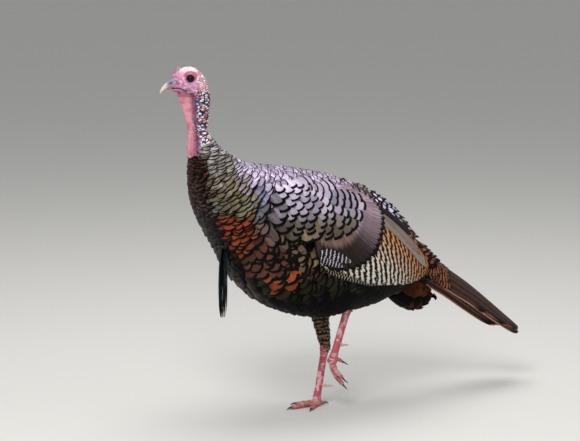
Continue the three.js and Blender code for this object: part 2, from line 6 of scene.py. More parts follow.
# %% Load the frame
import math
import bpy
import numpy as np
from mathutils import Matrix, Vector


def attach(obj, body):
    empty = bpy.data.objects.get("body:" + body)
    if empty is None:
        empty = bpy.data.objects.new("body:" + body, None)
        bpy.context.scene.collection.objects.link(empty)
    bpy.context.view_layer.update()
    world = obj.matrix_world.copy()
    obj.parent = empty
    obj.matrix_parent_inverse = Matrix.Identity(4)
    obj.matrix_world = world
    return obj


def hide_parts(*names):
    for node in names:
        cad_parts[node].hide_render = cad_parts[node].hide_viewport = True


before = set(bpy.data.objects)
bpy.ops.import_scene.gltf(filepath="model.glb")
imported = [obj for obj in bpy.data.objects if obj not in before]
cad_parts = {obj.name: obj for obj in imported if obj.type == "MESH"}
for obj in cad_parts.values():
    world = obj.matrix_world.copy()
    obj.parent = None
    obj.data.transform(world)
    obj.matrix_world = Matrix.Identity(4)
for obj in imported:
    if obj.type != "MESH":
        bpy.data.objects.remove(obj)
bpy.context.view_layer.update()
MM = 0.001

# %% [markdown]
# ## Colours and materials
# A feather, a patch of bare skin and a claw differ in how their surface was grown, so each has a
# material of its own. Colours are written as sRGB hex values and are made linear by one function.
# One small function adds a shader node with settings and links.

# %% Colour and node helpers
def linear(hex_colour):
    """Linear red, green, blue of an sRGB hex value: the standard curve, one channel at a time."""
    channels = [int(hex_colour[i:i + 2], 16) / 255 for i in (1, 3, 5)]
    return np.array([c / 12.92 if c <= 0.04045 else ((c + 0.055) / 1.055) ** 2.4 for c in channels])


def add_node(tree, kind, links=None, **settings):
    """Adds a node; settings are its properties, or inputs as in_NAME; links join inputs to sockets."""
    made = tree.nodes.new("ShaderNode" + kind)
    for key, value in settings.items():
        if key.startswith("in_"):
            socket = key[3:]
            made.inputs[int(socket) if socket.isdigit() else socket.replace("_", " ")].default_value = value
        else:
            setattr(made, key, value)
    for socket, source in (links or {}).items():
        tree.links.new(source, made.inputs[socket])
    return made


def new_material(name, **principled):
    """A material with its Principled shader set from the named values."""
    material = bpy.data.materials.new(name)
    material.use_nodes = True
    shader = material.node_tree.nodes["Principled BSDF"]
    for key, value in principled.items():
        shader.inputs[key.replace("_", " ")].default_value = value
    return material, material.node_tree, shader


# %% [markdown]
# ## Curves and surfaces
# Every form here is a surface worked out on a grid. A section of the trunk is a superellipse, an
# ellipse with slightly squared shoulders, and smooth curves carry it from the neck to the tail.

# %% Curve helpers
def through(rows, along):
    """Smooth (Catmull-Rom) curve through rows of numbers; along is 0 to 1, and runs on straight outside."""
    rows = np.asarray(rows, float)
    padded = np.vstack([2 * rows[0] - rows[1], rows, 2 * rows[-1] - rows[-2]])
    along = np.asarray(along, float)
    inside = np.clip(along, 0, 1)
    place = inside * (len(rows) - 1)
    first = np.minimum(place.astype(int), len(rows) - 2)
    w = (place - first)[..., None]
    a, b, c, d = (padded[first + k] for k in range(4))
    curve = b + w / 2 * ((c - a) + w * ((2 * a - 5 * b + 4 * c - d) + w * (3 * b - 3 * c + d - a)))
    over = (along - inside)[..., None] * (len(rows) - 1)
    end_slope = np.where(over > 0, rows[-1] - rows[-2], rows[1] - rows[0])
    return curve + over * end_slope


def superellipse(angle, squareness):
    """Height and sideways share of a section at an angle from its top; 2 is round, more is squarer."""
    up, across = np.cos(angle), np.sin(angle)
    size = (np.abs(up) ** squareness + np.abs(across) ** squareness) ** (-1 / squareness)
    return up * size, across * size


def smooth_step(value, low, high):
    """0 below low, 1 above high, with soft ends; low may be the larger one."""
    t = np.clip((value - low) / (high - low), 0, 1)
    return t * t * (3 - 2 * t)


def window(value, low, high, soft):
    """1 between low and high, falling to 0 over soft on both sides."""
    return smooth_step(value, low - soft, low + soft) * smooth_step(value, high + soft, high - soft)


def unit(vectors):
    """Vectors of length 1."""
    return vectors / np.maximum(np.linalg.norm(vectors, axis=-1, keepdims=True), 1e-9)


# %% [markdown]
# ## Repeatable chance
# No two feathers or warts are alike. Chance comes from whole-number lattices that are scrambled the
# same way each time, so that the bird comes out the same on every run.

# %% Noise helpers
def scrambled(cells, seed):
    """A repeatable number 0 to 1 for each row of three whole numbers."""
    mixed = cells[..., 0] * 73856093 ^ cells[..., 1] * 19349663 ^ cells[..., 2] * 83492791 ^ (seed * 668265263)
    mixed = (mixed ^ (mixed >> 13)) * 1274126177
    mixed = mixed ^ (mixed >> 16)
    return (mixed & 0xFFFFFF) / 0xFFFFFF


def cloud(points, cell, seed=1):
    """Value noise: numbers at the corners of cubes of size cell, blended smoothly between them."""
    place = points / cell
    corner = np.floor(place).astype(np.int64)
    part = place - corner
    part = part * part * (3 - 2 * part)
    total = np.zeros(points.shape[:-1])
    for offset in np.ndindex(2, 2, 2):
        weight = np.prod(np.where(np.array(offset), part, 1 - part), axis=-1)
        total += weight * scrambled(corner + np.array(offset), seed)
    return total


def pebbles(points, cell, seed=1):
    """Distances to the nearest and next of scattered points, in cells, and the nearest one's number."""
    place = points / cell
    corner = np.floor(place).astype(np.int64)
    near = np.full(len(points), 9.0)
    following = near.copy()
    number = np.zeros(len(points))
    for offset in np.ndindex(3, 3, 3):
        at = corner + np.array(offset) - 1
        spot = at + np.stack([scrambled(at, seed + k) for k in range(3)], -1)
        distance = np.linalg.norm(place - spot, axis=-1)
        following = np.where(distance < near, near, np.minimum(following, distance))
        number = np.where(distance < near, scrambled(at, seed + 5), number)
        near = np.minimum(near, distance)
    return near, following, number


chance = np.random.default_rng(26)

# %% [markdown]
# ## The bird's measurements
# Millimetres in the frame's own axes: the bird heads towards -X, its left side is -Y. These rows are
# the same sections that the solids were lofted through, so the surfaces below coincide with them.

# %% Sections of the trunk, wing, tail and undertail
MIDLINE_Y = -12
TRUNK = np.array([  # back x, back z, front or belly x, z, half width
    [-307, 810, -333, 801, 17], [-299, 780, -339, 785, 20.5], [-301, 741, -343, 745, 20],
    [-306, 704, -345, 711, 19], [-302, 691, -346, 680, 26], [-283, 669, -347, 650, 40],
    [-250, 642, -347, 612, 60], [-205, 619, -341, 562, 89], [-150, 609, -326, 504, 115],
    [-95, 601, -299, 450, 130], [-45, 592, -271, 402, 139], [0, 582, -233, 335, 142],
    [45, 568, -166, 276, 141], [90, 551, -86, 241, 136], [130, 531, -6, 226, 127],
    [165, 509, 65, 234, 114], [195, 486, 125, 241, 99], [225, 456, 175, 254, 82],
    [255, 420, 215, 268, 65], [285, 387, 250, 284, 54], [315, 359, 285, 287, 46],
    [343, 337, 322, 288, 33]])
SECTIONS = len(TRUNK) - 1
SQUARENESS = 2.2
WING_FULLNESS = np.array([0, 0, 0, 0, 0, 2, 4, 8, 11, 13, 14, 14, 14, 15, 19, 26, 32, 37, 38, 34, 28, 26.0])
WING_OUTLINE = np.array([
    [-178, 578], [-200, 528], [-186, 474], [-139, 440], [-92, 396], [-35, 360], [-2, 340],
    [66, 318], [141, 302], [215, 293], [258, 290], [277, 298], [276, 330], [254, 370],
    [208, 415], [143, 477], [70, 542], [0, 571], [-82, 590], [-140, 592.0]])
TAIL = np.array([  # ridge x, z, edge x, z, half width
    [285, 383, 262, 340, 46], [335, 340, 306, 294, 58], [385, 305, 356, 258, 62],
    [434, 271, 407, 227, 63], [490, 227, 465, 187, 63], [540, 186, 519, 152, 60],
    [573, 159, 557, 133, 50], [594, 141, 584, 125, 32]])
TAIL_SQUARENESS = 1.55
UNDERTAIL = np.array([
    [215, 335, 180, 262, 46], [250, 322, 213, 237, 52], [280, 305, 245, 220, 50],
    [302, 287, 274, 213, 43], [318, 270, 300, 220, 30], [324, 256, 314, 234, 13]])


def lofted(rows, along, angle, squareness=2.0, grow=0.0):
    """Section middle + height share of its half height + sideways share of its half width."""
    row = through(rows, along)
    up, across = superellipse(angle, squareness)
    middle = (row[..., 0:2] + row[..., 2:4]) / 2
    spread = (row[..., 0:2] - row[..., 2:4]) / 2
    reach = np.maximum(np.linalg.norm(spread, axis=-1), 1e-6)
    tall = (up * (reach + grow) / reach)[..., None]
    flat = middle + spread * tall
    sideways = across * (np.maximum(row[..., 4], 0.3) + grow)
    return np.stack([flat[..., 0], MIDLINE_Y + sideways, flat[..., 1]], -1)


def trunk(along, angle, grow=0.0):
    """The outside of neck, breast, back, belly and rump."""
    return lofted(TRUNK, along, angle, SQUARENESS, grow)


def tail_roof(along, angle, grow=0.0):
    """The folded tail: a steep roof whose ridge is at angle 0 and whose lower edges are at 90 degrees."""
    row = through(TAIL, along)
    ridge, edge = row[..., 0:2], row[..., 2:4]
    up, across = superellipse(angle, TAIL_SQUARENESS)
    flat = edge + (ridge - edge) * (up * (1 + grow / 50))[..., None]
    return np.stack([flat[..., 0], MIDLINE_Y + across * (row[..., 4] + grow), flat[..., 1]], -1)


def undertail(along, angle):
    """The cushion of feathers under the root of the tail."""
    return lofted(UNDERTAIL, along, angle)


def normals(surface, along, angle):
    """Outward unit normals of a surface from small steps both ways, and the steps themselves."""
    small = 1e-4
    by_along = (surface(along + small, angle) - surface(along - small, angle)) / (2 * small)
    by_angle = (surface(along, angle + small) - surface(along, angle - small)) / (2 * small)
    facing = unit(np.cross(by_angle, by_along))
    middle = (surface(along, angle * 0) + surface(along, angle * 0 + math.pi)) / 2
    inward = np.sum(facing * (surface(along, angle) - middle), axis=-1, keepdims=True) < 0
    return np.where(inward, -facing, facing), by_along, by_angle


# %% [markdown]
# ## The folded wing's surface
# A wing is laid out flat, as it is seen from the side: each feather has a root and a tip in x and z.
# The trunk's sections, made wider by the wing's fullness, then say how far out each point stands.

# %% Side view to wing surface
LINES = 400              # sections of the trunk that are tried
WING_LINES = (65, 395)   # those that the wing can reach
_fine = np.linspace(0, 1, LINES)
_line = through(TRUNK, _fine)
_full = through(WING_FULLNESS[:, None], _fine)[:, 0]


def wing_depth(x, z):
    """Sideways distance from the midline of the wing's outside: the section through (x, z) is found first."""
    point = np.stack([x, z], -1)[..., None, :]
    low, top = _line[:, 2:4], _line[:, 0:2]
    crossed = (point[..., 0] - low[:, 0]) * (top - low)[:, 1] - (point[..., 1] - low[:, 1]) * (top - low)[:, 0]
    number = np.arange(LINES)
    beyond = (number < WING_LINES[0]) | (number > WING_LINES[1])
    at = np.argmin(np.abs(crossed) + 1e6 * beyond, axis=-1)
    low, top, half = _line[at, 2:4], _line[at, 0:2], _line[at, 4] + _full[at]
    share = 2 * np.sum((point[..., 0, :] - low) * (top - low), -1) / np.sum((top - low) ** 2, -1) - 1
    share = np.clip(share, -0.985, 0.985)
    return half * (1 - np.abs(share) ** SQUARENESS) ** (1 / SQUARENESS)


def wing_point(x, z, side, proud):
    """A point of the wing's outside, moved out along its normal by proud."""
    step = 4.0
    depth = wing_depth(x, z)
    slope_x = (wing_depth(x + step, z) - wing_depth(x - step, z)) / (2 * step)
    slope_z = (wing_depth(x, z + step) - wing_depth(x, z - step)) / (2 * step)
    facing = unit(np.stack([-slope_x, np.ones_like(x), -slope_z], -1))
    place = np.stack([x, depth, z], -1) + facing * proud[..., None]
    place[..., 1] = MIDLINE_Y + side * place[..., 1]
    return place


def inside_outline(points, outline):
    """True for points inside a closed outline: counts the edges crossed on the way out."""
    start, end = outline, np.roll(outline, -1, axis=0)
    x, z = points[..., 0, None], points[..., 1, None]
    spans = (start[:, 1] > z) != (end[:, 1] > z)
    rise = np.where(end[:, 1] == start[:, 1], 1e-9, end[:, 1] - start[:, 1])
    meets = start[:, 0] + (z - start[:, 1]) / rise * (end[:, 0] - start[:, 0])
    return (np.sum(spans & (x < meets), -1) % 2) == 1


# %% [markdown]
# ## One feather, many times
# A feather's vane is a small grid, root to tip and edge to edge, arched over its shaft. A flat sheet
# under the arch closes it, so each feather is a thin solid. All feathers of a tract are computed at
# once; each carries its own colours and markings as attributes, which one shader reads.

# %% Feather grids
def outline_width(u, blunt, taper):
    """Half width along a vane: swells from the quill, keeps on, and rounds off over its last part."""
    full_at, quill_width, tip_width = 0.3, 0.12, 0.40
    quill = np.sqrt(np.clip(1 - (1 - np.clip(u / full_at, 0, 1)) ** 2, 0, 1))
    tip = np.clip((u - 1 + taper) / taper, 0, 1)
    rounded = np.sqrt(np.clip(1 - tip ** blunt, 0, 1))
    return (quill_width + (1 - quill_width) * quill) * np.maximum(rounded, tip_width)


def vane_grid(steps, ribs, blunt, taper):
    """u root to tip and v edge to edge, with the half width at each u. Rows bow back at the edges."""
    crowd = 1.0 if taper > 0.3 else 1.7
    from_root = 1 - (1 - np.linspace(0, 1, steps + 1)) ** crowd
    u, v = np.meshgrid(from_root, np.linspace(-1, 1, ribs + 1), indexing="ij")
    width = outline_width(u, blunt, taper)
    bowed = u - 0.22 * taper * v ** 2 * u ** 3
    return bowed.ravel(), v.ravel(), width.ravel()


def vane_faces(steps, ribs):
    """Faces of one feather: the arched top, a flat sheet below and both end caps."""
    i, j = np.meshgrid(np.arange(steps), np.arange(ribs), indexing="ij")
    a = (i * (ribs + 1) + j).ravel()
    top = np.stack([a, a + ribs + 1, a + ribs + 2, a + 1], -1)
    b = np.arange(steps) * (ribs + 1)
    below = np.stack([b, b + ribs, b + 2 * ribs + 1, b + ribs + 1], -1)
    root_cap = np.arange(ribs + 1)
    tip_cap = steps * (ribs + 1) + np.arange(ribs, -1, -1)
    return [*top.tolist(), *below.tolist(), root_cap.tolist(), tip_cap.tolist()], len(top)


def mesh_from(name, points, faces, flat_from=None, repeats=1):
    """A mesh of points in millimetres from a face list that repeats; faces after flat_from are flat."""
    sizes = np.array([len(face) for face in faces])
    corners = np.concatenate([np.array(face) for face in faces])
    stride = len(points) // repeats
    all_corners = (corners[None, :] + stride * np.arange(repeats)[:, None]).ravel()
    starts = np.concatenate([[0], np.cumsum(np.tile(sizes, repeats))[:-1]])
    mesh = bpy.data.meshes.new(name)
    mesh.vertices.add(len(points))
    mesh.vertices.foreach_set("co", (points * MM).ravel())
    mesh.loops.add(len(all_corners))
    mesh.loops.foreach_set("vertex_index", all_corners.astype(np.int32))
    mesh.polygons.add(len(starts))
    mesh.polygons.foreach_set("loop_start", starts.astype(np.int32))
    mesh.update(calc_edges=True)
    mesh.validate()
    smooth = np.ones(len(faces), bool)
    if flat_from is not None:
        smooth[flat_from:] = False
    mesh.polygons.foreach_set("use_smooth", np.tile(smooth, repeats))
    return mesh


def give(mesh, name, values, kind):
    """Stores one value per vertex as an attribute."""
    field = "color" if kind == "FLOAT_COLOR" else "vector" if kind == "FLOAT_VECTOR" else "value"
    attribute = mesh.attributes.new(name, kind, "POINT")
    attribute.data.foreach_set(field, np.ascontiguousarray(values, np.float32).ravel())


def give_uv(mesh, name, uv):
    """Stores a UV map from one pair of numbers per vertex."""
    corner_vertex = np.zeros(len(mesh.loops), np.int32)
    mesh.loops.foreach_get("vertex_index", corner_vertex)
    layer = mesh.uv_layers.new(name=name)
    layer.data.foreach_set("uv", uv[corner_vertex].astype(np.float32).ravel())


def show(name, mesh, material, replaces=()):
    """Puts a mesh into the scene as a piece that moves with the bird."""
    piece = bpy.data.objects.new(name, mesh)
    bpy.context.scene.collection.objects.link(piece)
    mesh.materials.append(material)
    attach(piece, "root")
    if replaces:
        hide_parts(*replaces)
    return piece


# Size of a feather's patch on the bake's map. The long feathers of the wing and the tail and the
# beard's bristles take larger patches, given where their tracts are made.
PATCH = 0.003


class Tract:
    """Feathers of one kind: their vertices, and per feather the colours, markings and place on the map."""

    def __init__(self, steps=5, ribs=4, blunt=3.0, patch=PATCH, taper=0.45):
        self.steps, self.ribs, self.patch = steps, ribs, patch
        self.u, self.v, self.w = vane_grid(steps, ribs, blunt, taper)
        self.points, self.base, self.tip, self.ink, self.marks, self.home = [], [], [], [], [], []

    def add(self, points, base, tip, ink, marks, home):
        """points (feathers, grid, 3); colours and marks (feathers, 3); home (feathers, 2)."""
        count = len(points)
        self.points.append(points)
        for store, value in ((self.base, base), (self.tip, tip), (self.ink, ink), (self.marks, marks)):
            store.append(np.broadcast_to(value, (count, 3)))
        self.home.append(home)

    def piece(self, name, material, slot, replaces=()):
        """Joins all feathers into one mesh piece with its two UV maps."""
        points = np.concatenate(self.points)
        count, grid = points.shape[:2]
        faces, flat_from = vane_faces(self.steps, self.ribs)
        mesh = mesh_from(name, points.reshape(-1, 3), faces, flat_from, count)
        for label, store in (("Base", self.base), ("Tip", self.tip), ("Ink", self.ink)):
            colour = np.concatenate(store)
            opaque = np.concatenate([colour, np.ones((count, 1))], 1)
            give(mesh, label, np.repeat(opaque, grid, 0), "FLOAT_COLOR")
        give(mesh, "Marks", np.repeat(np.concatenate(self.marks), grid, 0), "FLOAT_VECTOR")
        vane = np.tile(np.stack([self.u, (self.v + 1) / 2], -1), (count, 1))
        give_uv(mesh, "Vane", vane)
        local = np.stack([self.v * self.w, 2 * self.u - 1], -1) * self.patch / 2
        home = np.concatenate(self.home)
        give_uv(mesh, "OFBake", (home[:, None, :] + local[None]).reshape(-1, 2))
        show(name, mesh, material, replaces)
        each = 2 * self.steps * (self.ribs + 1) + 2 * (self.ribs - 1)
        print(name, count, "feathers,", count * each, "triangles")


# %% [markdown]
# ## Rows of feathers on a body
# Contour feathers grow in staggered rows, small on the neck and large on the flanks. The number of
# rows passed is added up along each line from neck to tail, so whole numbers of it are the rows.

# %% Rows and shingles
def even(gap):
    """A gap that is the same all over a surface."""
    return lambda p: gap + 0 * p[..., 0]


def rows_on(surface, row_gap, column_gap, along_range=(0, 1), angle_range=(0, 2 * math.pi)):
    """Roots in staggered rows. row_gap and column_gap give millimetres at points of the surface."""
    along = np.linspace(*along_range, 200)
    angle = np.linspace(*angle_range, 241)
    grid = surface(along[:, None] + 0 * angle, angle[None, :] + 0 * along[:, None])
    stepped = np.linalg.norm(np.diff(grid, axis=0), axis=-1) / row_gap((grid[1:] + grid[:-1]) / 2)
    passed = np.vstack([np.zeros(len(angle)), np.cumsum(stepped, 0)])
    rows = np.arange(0.5, passed.max())
    along_of = np.stack([np.interp(rows, passed[:, k], along) for k in range(len(angle))], 1)
    reached = rows[:, None] < passed[-1][None, :]
    found = []
    for k in range(len(rows)):
        line = surface(along_of[k], angle)
        gap = column_gap((line[1:] + line[:-1]) / 2)
        count = np.concatenate([[0], np.cumsum(np.linalg.norm(np.diff(line, axis=0), axis=-1) / gap)])
        total = max(round(count[-1]), 1)
        at = (np.arange(total) + 0.5 * (k % 2) + 0.25) * count[-1] / total
        here = np.interp(at, count, angle)
        keep = np.interp(here, angle, reached[k].astype(float)) > 0.5
        found.append(np.stack([np.interp(here, angle, along_of[k]), here], -1)[keep])
    return np.concatenate(found)


def shingles(tract, surface, roots, length, width, depth, swing=0.0, arch=0.10, rough=1.0, lift=0.0):
    """Lays feathers on a surface. Each vertex is a step from the root in the surface's own two
    directions, so vanes bend with the body; roots lie deep, tips come up to the surface."""
    along, angle = roots[:, 0], roots[:, 1]
    count = len(along)
    facing, by_along, by_angle = normals(surface, along, angle)
    forward = unit(by_along)
    sideways = np.cross(facing, forward)
    stretch_along = np.linalg.norm(by_along, axis=-1)
    lean = np.sum(by_angle * forward, -1)
    stretch_angle = np.sum(by_angle * sideways, -1)
    no_less = np.sign(stretch_angle) + (stretch_angle == 0)
    stretch_angle = np.where(np.abs(stretch_angle) < 1, no_less, stretch_angle)
    turn = swing + (chance.random(count) - 0.5) * 0.22 * rough
    roll = (chance.random(count) - 0.5) * 0.10 * rough
    u, v, w = tract.u, tract.v, tract.w
    far = length[:, None] * u
    wide = width[:, None] / 2 * w * v
    ahead = far * np.cos(turn)[:, None] - wide * np.sin(turn)[:, None]
    across = far * np.sin(turn)[:, None] + wide * np.cos(turn)[:, None]
    to_angle = across / stretch_angle[:, None]
    to_along = (ahead - lean[:, None] * to_angle) / stretch_along[:, None]
    vertex_along = along[:, None] + to_along
    vertex_angle = angle[:, None] + to_angle
    outward, _, _ = normals(surface, vertex_along, vertex_angle)
    jitter = (chance.random(count) - 0.5) * 1.2 * rough
    height = -depth[:, None] * (1 - u) ** 1.1 + lift * u ** 3 + jitter[:, None] * u
    height = height - arch * width[:, None] * (v * w) ** 2 + roll[:, None] * wide * u
    return surface(vertex_along, vertex_angle) + outward * height[..., None]


def home_on_body(roots):
    """A root's place on the unwrap of the body: angle across, distance along upwards, inside a margin."""
    low, high = 0.02, 0.98
    across = np.mod(roots[:, 1] / (2 * math.pi), 1)
    return low + (high - low) * np.stack([across, np.clip(roots[:, 0], 0, 1)], -1)


# %% [markdown]
# ## The plumage material
# A turkey's feather is keratin laid in thin films over dark pigment: it shines like oil on bronze,
# with a velvet-black rim. The shader mixes base, band and rim by the distance from the tip, adds the
# cross bars of flight feathers, and streaks all of it along the barbs. Barbs are a fifth of a
# millimetre apart, too fine to show, so the streaks are drawn about ten times as coarse.

# %% Plumage shader
def plumage(name, metallic, roughness, streaks=0.35, bar_skew=0.35, bar_share=0.42, rim_colour=None,
            gloss=0.10, barbs_across=16.0, edge=(0.80, 1.0, 1.0, 0.75)):
    """Base, Tip and Ink colours placed by Marks (rim share, band share, number of bars). The vane darkens or
    brightens towards its sides: edge is from and to (0 shaft, 1 edge), and the brightness at both."""
    material, tree, shader = new_material(name, Metallic=metallic, Roughness=roughness, Specular_IOR_Level=gloss)
    uv = add_node(tree, "UVMap", uv_map="Vane")
    split = add_node(tree, "SeparateXYZ", {0: uv.outputs[0]})
    base, tip, ink = (add_node(tree, "Attribute", attribute_name=label) for label in ("Base", "Tip", "Ink"))
    marks = add_node(tree, "Attribute", attribute_name="Marks")
    mark = add_node(tree, "SeparateXYZ", {0: marks.outputs["Vector"]})
    centred = add_node(tree, "Math", {0: split.outputs[1]}, operation="MULTIPLY_ADD", in_1=2.0, in_2=-1.0)
    side = add_node(tree, "Math", {0: centred.outputs[0]}, operation="ABSOLUTE")
    bowed = add_node(tree, "Math", {0: side.outputs[0]}, operation="POWER", in_1=2.4)
    own = add_node(tree, "CombineXYZ", {0: split.outputs[0], 1: split.outputs[1], 2: mark.outputs[2]})
    wavy = add_node(tree, "TexNoise", {"Vector": own.outputs[0]}, in_Scale=9.0, in_Detail=2.0)
    ragged = add_node(tree, "Math", {0: wavy.outputs[0]}, operation="MULTIPLY_ADD", in_1=0.10, in_2=-0.05)
    edging = add_node(tree, "Math", {0: mark.outputs[0]}, operation="MULTIPLY", in_1=1.7)
    reach = add_node(tree, "Math", {0: bowed.outputs[0], 1: edging.outputs[0], 2: split.outputs[0]},
                     operation="MULTIPLY_ADD")
    reach = add_node(tree, "Math", {0: reach.outputs[0], 1: ragged.outputs[0]}, operation="ADD")
    from_tip = add_node(tree, "Math", {1: reach.outputs[0]}, operation="SUBTRACT", in_0=1.0)

    def edge_mask(limit, softness):
        gone = add_node(tree, "Math", {0: from_tip.outputs[0], 1: limit}, operation="SUBTRACT")
        return add_node(tree, "MapRange", {"Value": gone.outputs[0]}, interpolation_type="SMOOTHSTEP",
                        in_1=-softness, in_2=softness, in_3=1.0, in_4=0.0)

    rim = edge_mask(mark.outputs[0], 0.025)
    band_end = add_node(tree, "Math", {0: mark.outputs[0], 1: mark.outputs[1]}, operation="ADD")
    band = edge_mask(band_end.outputs[0], 0.07)
    slanted = add_node(tree, "Math", {0: centred.outputs[0], 2: split.outputs[0]},
                       operation="MULTIPLY_ADD", in_1=bar_skew * 0.1)
    wobble = add_node(tree, "Math", {0: wavy.outputs[0]}, operation="MULTIPLY_ADD", in_1=0.8, in_2=-0.4)
    counted = add_node(tree, "Math", {0: slanted.outputs[0], 1: mark.outputs[2], 2: wobble.outputs[0]},
                       operation="MULTIPLY_ADD")
    phase = add_node(tree, "Math", {0: counted.outputs[0]}, operation="FRACT")
    centre = add_node(tree, "Math", {0: phase.outputs[0]}, operation="SUBTRACT", in_1=0.5)
    away = add_node(tree, "Math", {0: centre.outputs[0]}, operation="ABSOLUTE")
    narrow = add_node(tree, "Math", {0: side.outputs[0], 2: away.outputs[0]}, operation="MULTIPLY_ADD", in_1=0.06)
    bar = add_node(tree, "MapRange", {"Value": narrow.outputs[0]}, interpolation_type="SMOOTHSTEP",
                   in_1=bar_share / 2 - 0.06, in_2=bar_share / 2 + 0.06, in_3=1.0, in_4=0.0)
    barred = add_node(tree, "Math", {0: mark.outputs[2]}, operation="GREATER_THAN", in_1=0.5)
    bar = add_node(tree, "Math", {0: bar.outputs[0], 1: barred.outputs[0]}, operation="MULTIPLY")
    dark = bar if rim_colour else add_node(tree, "Math", {0: bar.outputs[0], 1: rim.outputs[0]},
                                           operation="MAXIMUM")
    banded = add_node(tree, "Mix", {0: band.outputs[0], 6: base.outputs["Color"], 7: tip.outputs["Color"]},
                      data_type="RGBA")
    inked = add_node(tree, "Mix", {0: dark.outputs[0], 6: banded.outputs[2], 7: ink.outputs["Color"]},
                     data_type="RGBA")
    if rim_colour:
        inked = add_node(tree, "Mix", {0: rim.outputs[0], 6: inked.outputs[2]}, data_type="RGBA",
                         in_7=(*linear(rim_colour), 1))
    barbs = add_node(tree, "CombineXYZ", {0: split.outputs[0], 1: side.outputs[0]})
    stretched = add_node(tree, "Mapping", {0: barbs.outputs[0]}, in_Scale=(2.5, barbs_across, 1.0))
    streak = add_node(tree, "TexNoise", {"Vector": stretched.outputs[0]}, in_Scale=1.0, in_Detail=3.0)
    bright = add_node(tree, "MapRange", {"Value": streak.outputs[0]}, in_1=0.25, in_2=0.75,
                      in_3=1 - streaks, in_4=1 + streaks)
    sides = add_node(tree, "MapRange", {"Value": side.outputs[0]}, interpolation_type="SMOOTHSTEP",
                     in_1=edge[0], in_2=edge[1], in_3=edge[2], in_4=edge[3])
    shade = add_node(tree, "Math", {0: bright.outputs[0], 1: sides.outputs[0]}, operation="MULTIPLY")
    streaked = add_node(tree, "Mix", {6: inked.outputs[2], 7: shade.outputs[0]}, data_type="RGBA",
                        blend_type="MULTIPLY", in_0=1.0)
    bump = add_node(tree, "Bump", {"Height": streak.outputs[0]}, in_Strength=0.35, in_Distance=0.0006)
    tree.links.new(streaked.outputs[2], shader.inputs["Base Color"])
    tree.links.new(bump.outputs[0], shader.inputs["Normal"])
    return material


SATIN = plumage("contour feather keratin, satin", 0.22, 0.42, streaks=0.5, barbs_across=11.0)
MATT = plumage("down-edged feather keratin, matt", 0.0, 0.65, gloss=0.05)
FLIGHT = plumage("flight feather keratin, barred", 0.04, 0.50, streaks=0.28, bar_skew=1.0, bar_share=0.56)
PANEL = plumage("long covert keratin, satin", 0.18, 0.42, streaks=0.85, barbs_across=6.0,
                edge=(0.30, 0.85, 1.35, 0.08))
DUSK = plumage("belly feather keratin, dull", 0.08, 0.52, streaks=0.5, gloss=0.05, barbs_across=11.0)
BARRED = plumage("flight feather keratin, narrow bars", 0.04, 0.50, bar_skew=0.25, bar_share=0.30)
BLACK = linear("#050404")
print("plumage materials ready")

# %% [markdown]
# ## Where the colours change on the body
# The collar is grey-brown at the sides and lilac at the back, the mantle lilac silver, the breast
# copper, the flanks olive and bronze, the belly sooty and the rump black with pale bands. The front
# of the breast is painted near black as shade, and the belly's soot is painted darker still as the
# shade beneath the body. Each zone is a soft mask over the body; a feather takes the mix of zones
# at its root, and its own small share of chance.

# %% Zones of the body plumage
NECK_LINE = np.array([-304.0, 712.0]), unit(np.array([80.0, -43.0]))


def past_neck(p):
    """Millimetres behind the slanting line where the bare neck ends and the feathers start."""
    return (p[..., 0] - NECK_LINE[0][0]) * NECK_LINE[1][0] + (p[..., 2] - NECK_LINE[0][1]) * NECK_LINE[1][1]


